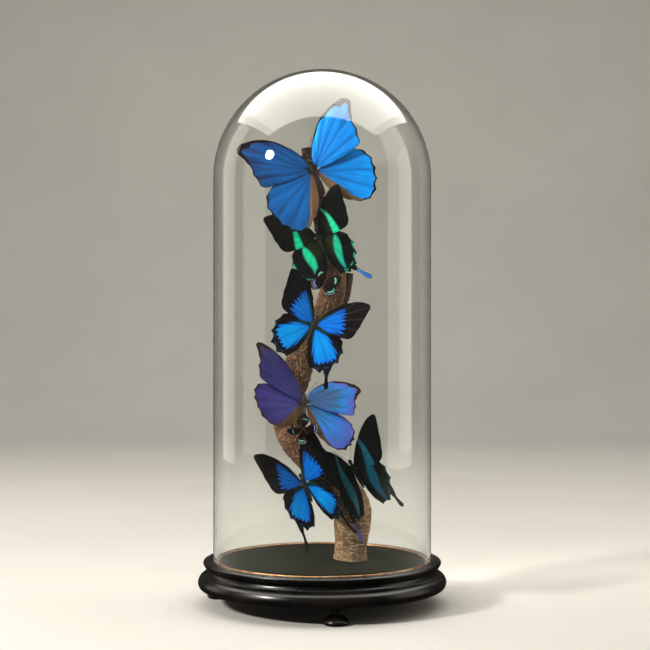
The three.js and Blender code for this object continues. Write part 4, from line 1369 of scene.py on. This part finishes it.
def lamp(name, place, towards, size, power, colour):
    """A soft box: a rectangle of light at a place in metres, facing another place."""
    light = bpy.data.lights.new(name, "AREA")
    light.shape = "ELLIPSE" if size[0] == size[1] else "RECTANGLE"
    light.size, light.size_y = size
    light.energy = power
    light.color = linear(colour)[:3]
    made = bpy.data.objects.new(name, light)
    bpy.context.scene.collection.objects.link(made)
    made.location = place
    aim = mathutils.Vector(towards) - mathutils.Vector(place)
    made.rotation_euler = aim.to_track_quat("-Z", "Y").to_euler()
    made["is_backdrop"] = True
    return made


def pale_floor(shade):
    """A plain pale floor that sweeps up behind the dome and falls into shade ahead of it.

    The shade keeps the front of the glass from mirroring a bright floor over the insects.
    """
    material, add = new_material("pale_studio_paper")
    place = add("TexCoord", out="Object")
    cloud = add("TexNoise", {"Vector": place, "Scale": 1 / (300 * MM), "Detail": 3})
    paper = add("ValToRGB", [cloud], stops=[(0.3, "#e6e4de"), (0.7, "#eceae4")])
    ahead = add("MapRange", [add("SeparateXYZ", [place], "Y"), *SHADE_FROM_TO_Y, 0, 1])
    colour = add("Mix", {0: ahead, 6: paper, 7: shade}, 2, data_type="RGBA")
    add("OutputMaterial", [add("BsdfPrincipled", {
        "Base Color": colour, "Roughness": 0.9, "Specular IOR Level": 0.1})])
    turn = np.linspace(0, np.pi / 2, 24)
    bend = np.stack([SWEEP_Y + SWEEP_RADIUS * np.sin(turn),
                     SWEEP_RADIUS - SWEEP_RADIUS * np.cos(turn)], axis=-1)
    profile = np.vstack([[(FLOOR_FRONT_Y, 0)], bend, [(SWEEP_Y + SWEEP_RADIUS, WALL_TOP_Z)]])
    across = np.linspace(-FLOOR_HALF_WIDTH, FLOOR_HALF_WIDTH, 5)
    points = np.stack(np.broadcast_arrays(across, profile[:, :1], profile[:, 1:]), axis=-1)
    shape = Shape()
    shape.add(points.reshape(-1, 3), grid_faces(len(profile), len(across), False))
    floor = shape.build("floor", [material], 60)
    floor.visible_glossy = False
    floor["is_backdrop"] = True


# ---- Operators -----------------------------------------------------------------------------

class GLASSDOME_OT_base(bpy.types.Operator):
    """Build the turned base, its three feet and the gilt ring"""

    bl_idname = "glassdome.base"
    bl_label = "Base, feet and ring"

    def execute(self, context):
        base = base_piece()
        for node_name in FOOT_NODES:
            foot_piece(node_name, base.data.materials[0])
        ring_piece()
        return {"FINISHED"}


class GLASSDOME_OT_glass(bpy.types.Operator):
    """Build the blown glass dome"""

    bl_idname = "glassdome.glass"
    bl_label = "Glass dome"

    def execute(self, context):
        dome_piece(context.scene.glassdome_glass)
        return {"FINISHED"}


class GLASSDOME_OT_branch(bpy.types.Operator):
    """Build the branch with its bark"""

    bl_idname = "glassdome.branch"
    bl_label = "Branch"

    def execute(self, context):
        branch_piece(context.scene.glassdome_branch)
        return {"FINISHED"}


class GLASSDOME_OT_morphos(bpy.types.Operator):
    """Build the blue and the violet morpho"""

    bl_idname = "glassdome.morphos"
    bl_label = "Morphos"

    def execute(self, context):
        build_insects(MORPHOS, MORPHO_BODY, MORPHO_SEED, context.scene.glassdome_insects)
        return {"FINISHED"}


class GLASSDOME_OT_swallowtails(bpy.types.Operator):
    """Build the four swallowtails: one emerald banded, two blue and one teal banded"""

    bl_idname = "glassdome.swallowtails"
    bl_label = "Swallowtails"

    def execute(self, context):
        build_insects(SWALLOWTAILS, SWALLOWTAIL_BODY, SWALLOWTAIL_SEED,
                      context.scene.glassdome_insects)
        return {"FINISHED"}


class GLASSDOME_OT_small_blues(bpy.types.Operator):
    """Build the two small brown butterflies with turquoise bars"""

    bl_idname = "glassdome.small_blues"
    bl_label = "Small butterflies"

    def execute(self, context):
        build_insects(SMALL_BLUES, SMALL_BODY, SMALL_SEED, context.scene.glassdome_insects)
        return {"FINISHED"}


class GLASSDOME_OT_stage(bpy.types.Operator):
    """Build the pale floor, the soft lights and the camera"""

    bl_idname = "glassdome.stage"
    bl_label = "Stage"

    def execute(self, context):
        sizes = context.scene.glassdome_stage
        pale_floor(sizes.shade)
        lamps = {name: lamp(name, *values) for name, values in LAMPS.items()}
        lamps["ceiling_glow"].visible_diffuse = False
        world = bpy.data.worlds.new("pale_room")
        world.use_nodes = True
        world.node_tree.nodes.clear()
        add = functools.partial(add_node, world.node_tree)
        seen = add("Math MAXIMUM", [add("LightPath", out="Is Camera Ray"),
                                    add("LightPath", out="Is Transmission Ray")])
        strength = add("MapRange", [seen, 0, 1, WORLD_IN_MIRRORS, WORLD_SEEN])
        add("OutputWorld", [add("Background", [sizes.room, strength])])
        context.scene.world = world
        context.scene.view_settings.view_transform = "Standard"
        camera = bpy.data.objects.new("camera", bpy.data.cameras.new("camera"))
        context.scene.collection.objects.link(camera)
        camera.data.lens = sizes.lens
        camera.data.sensor_width = SENSOR_MM
        camera.location = (CAMERA_X, -sizes.distance, sizes.height)
        camera.rotation_euler = (math.pi / 2, 0, 0)
        context.scene.camera = camera
        camera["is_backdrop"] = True
        return {"FINISHED"}


class GLASSDOME_PT_panel(bpy.types.Panel):
    """The builders of the display, with their sizes"""

    bl_label = "Glass dome"
    bl_space_type = "VIEW_3D"
    bl_region_type = "UI"
    bl_category = "Glass dome"

    def draw(self, context):
        column = self.layout.column()
        for operator in OPERATORS:
            column.operator(operator.bl_idname)
        for name, group in SIZE_GROUPS.items():
            for field in group.__annotations__:
                column.prop(getattr(context.scene, name), field)


SIZE_GROUPS = {
    "glassdome_glass": GlassDomeGlass, "glassdome_branch": GlassDomeBranch,
    "glassdome_insects": GlassDomeInsects, "glassdome_stage": GlassDomeStage,
}
OPERATORS = (GLASSDOME_OT_base, GLASSDOME_OT_glass, GLASSDOME_OT_branch, GLASSDOME_OT_morphos,
             GLASSDOME_OT_swallowtails, GLASSDOME_OT_small_blues, GLASSDOME_OT_stage)
CLASSES = (*SIZE_GROUPS.values(), *OPERATORS, GLASSDOME_PT_panel)


def register():
    for each in CLASSES:
        bpy.utils.register_class(each)
    for name, group in SIZE_GROUPS.items():
        setattr(bpy.types.Scene, name, bpy.props.PointerProperty(type=group))


def unregister():
    for name in SIZE_GROUPS:
        delattr(bpy.types.Scene, name)
    for each in reversed(CLASSES):
        bpy.utils.unregister_class(each)


def main():
    """Builds everything and works out how large the solids and the finished display are."""
    register()
    bpy.ops.glassdome.base()
    bpy.ops.glassdome.glass()
    bpy.ops.glassdome.branch()
    bpy.ops.glassdome.morphos()
    bpy.ops.glassdome.swallowtails()
    bpy.ops.glassdome.small_blues()
    bpy.ops.glassdome.stage()
    boxes = {"cad": CAD_BOX, "visual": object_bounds()}
    {key: [list(corner) for corner in box] for key, box in boxes.items()}


if __name__ == "__main__":
    main()
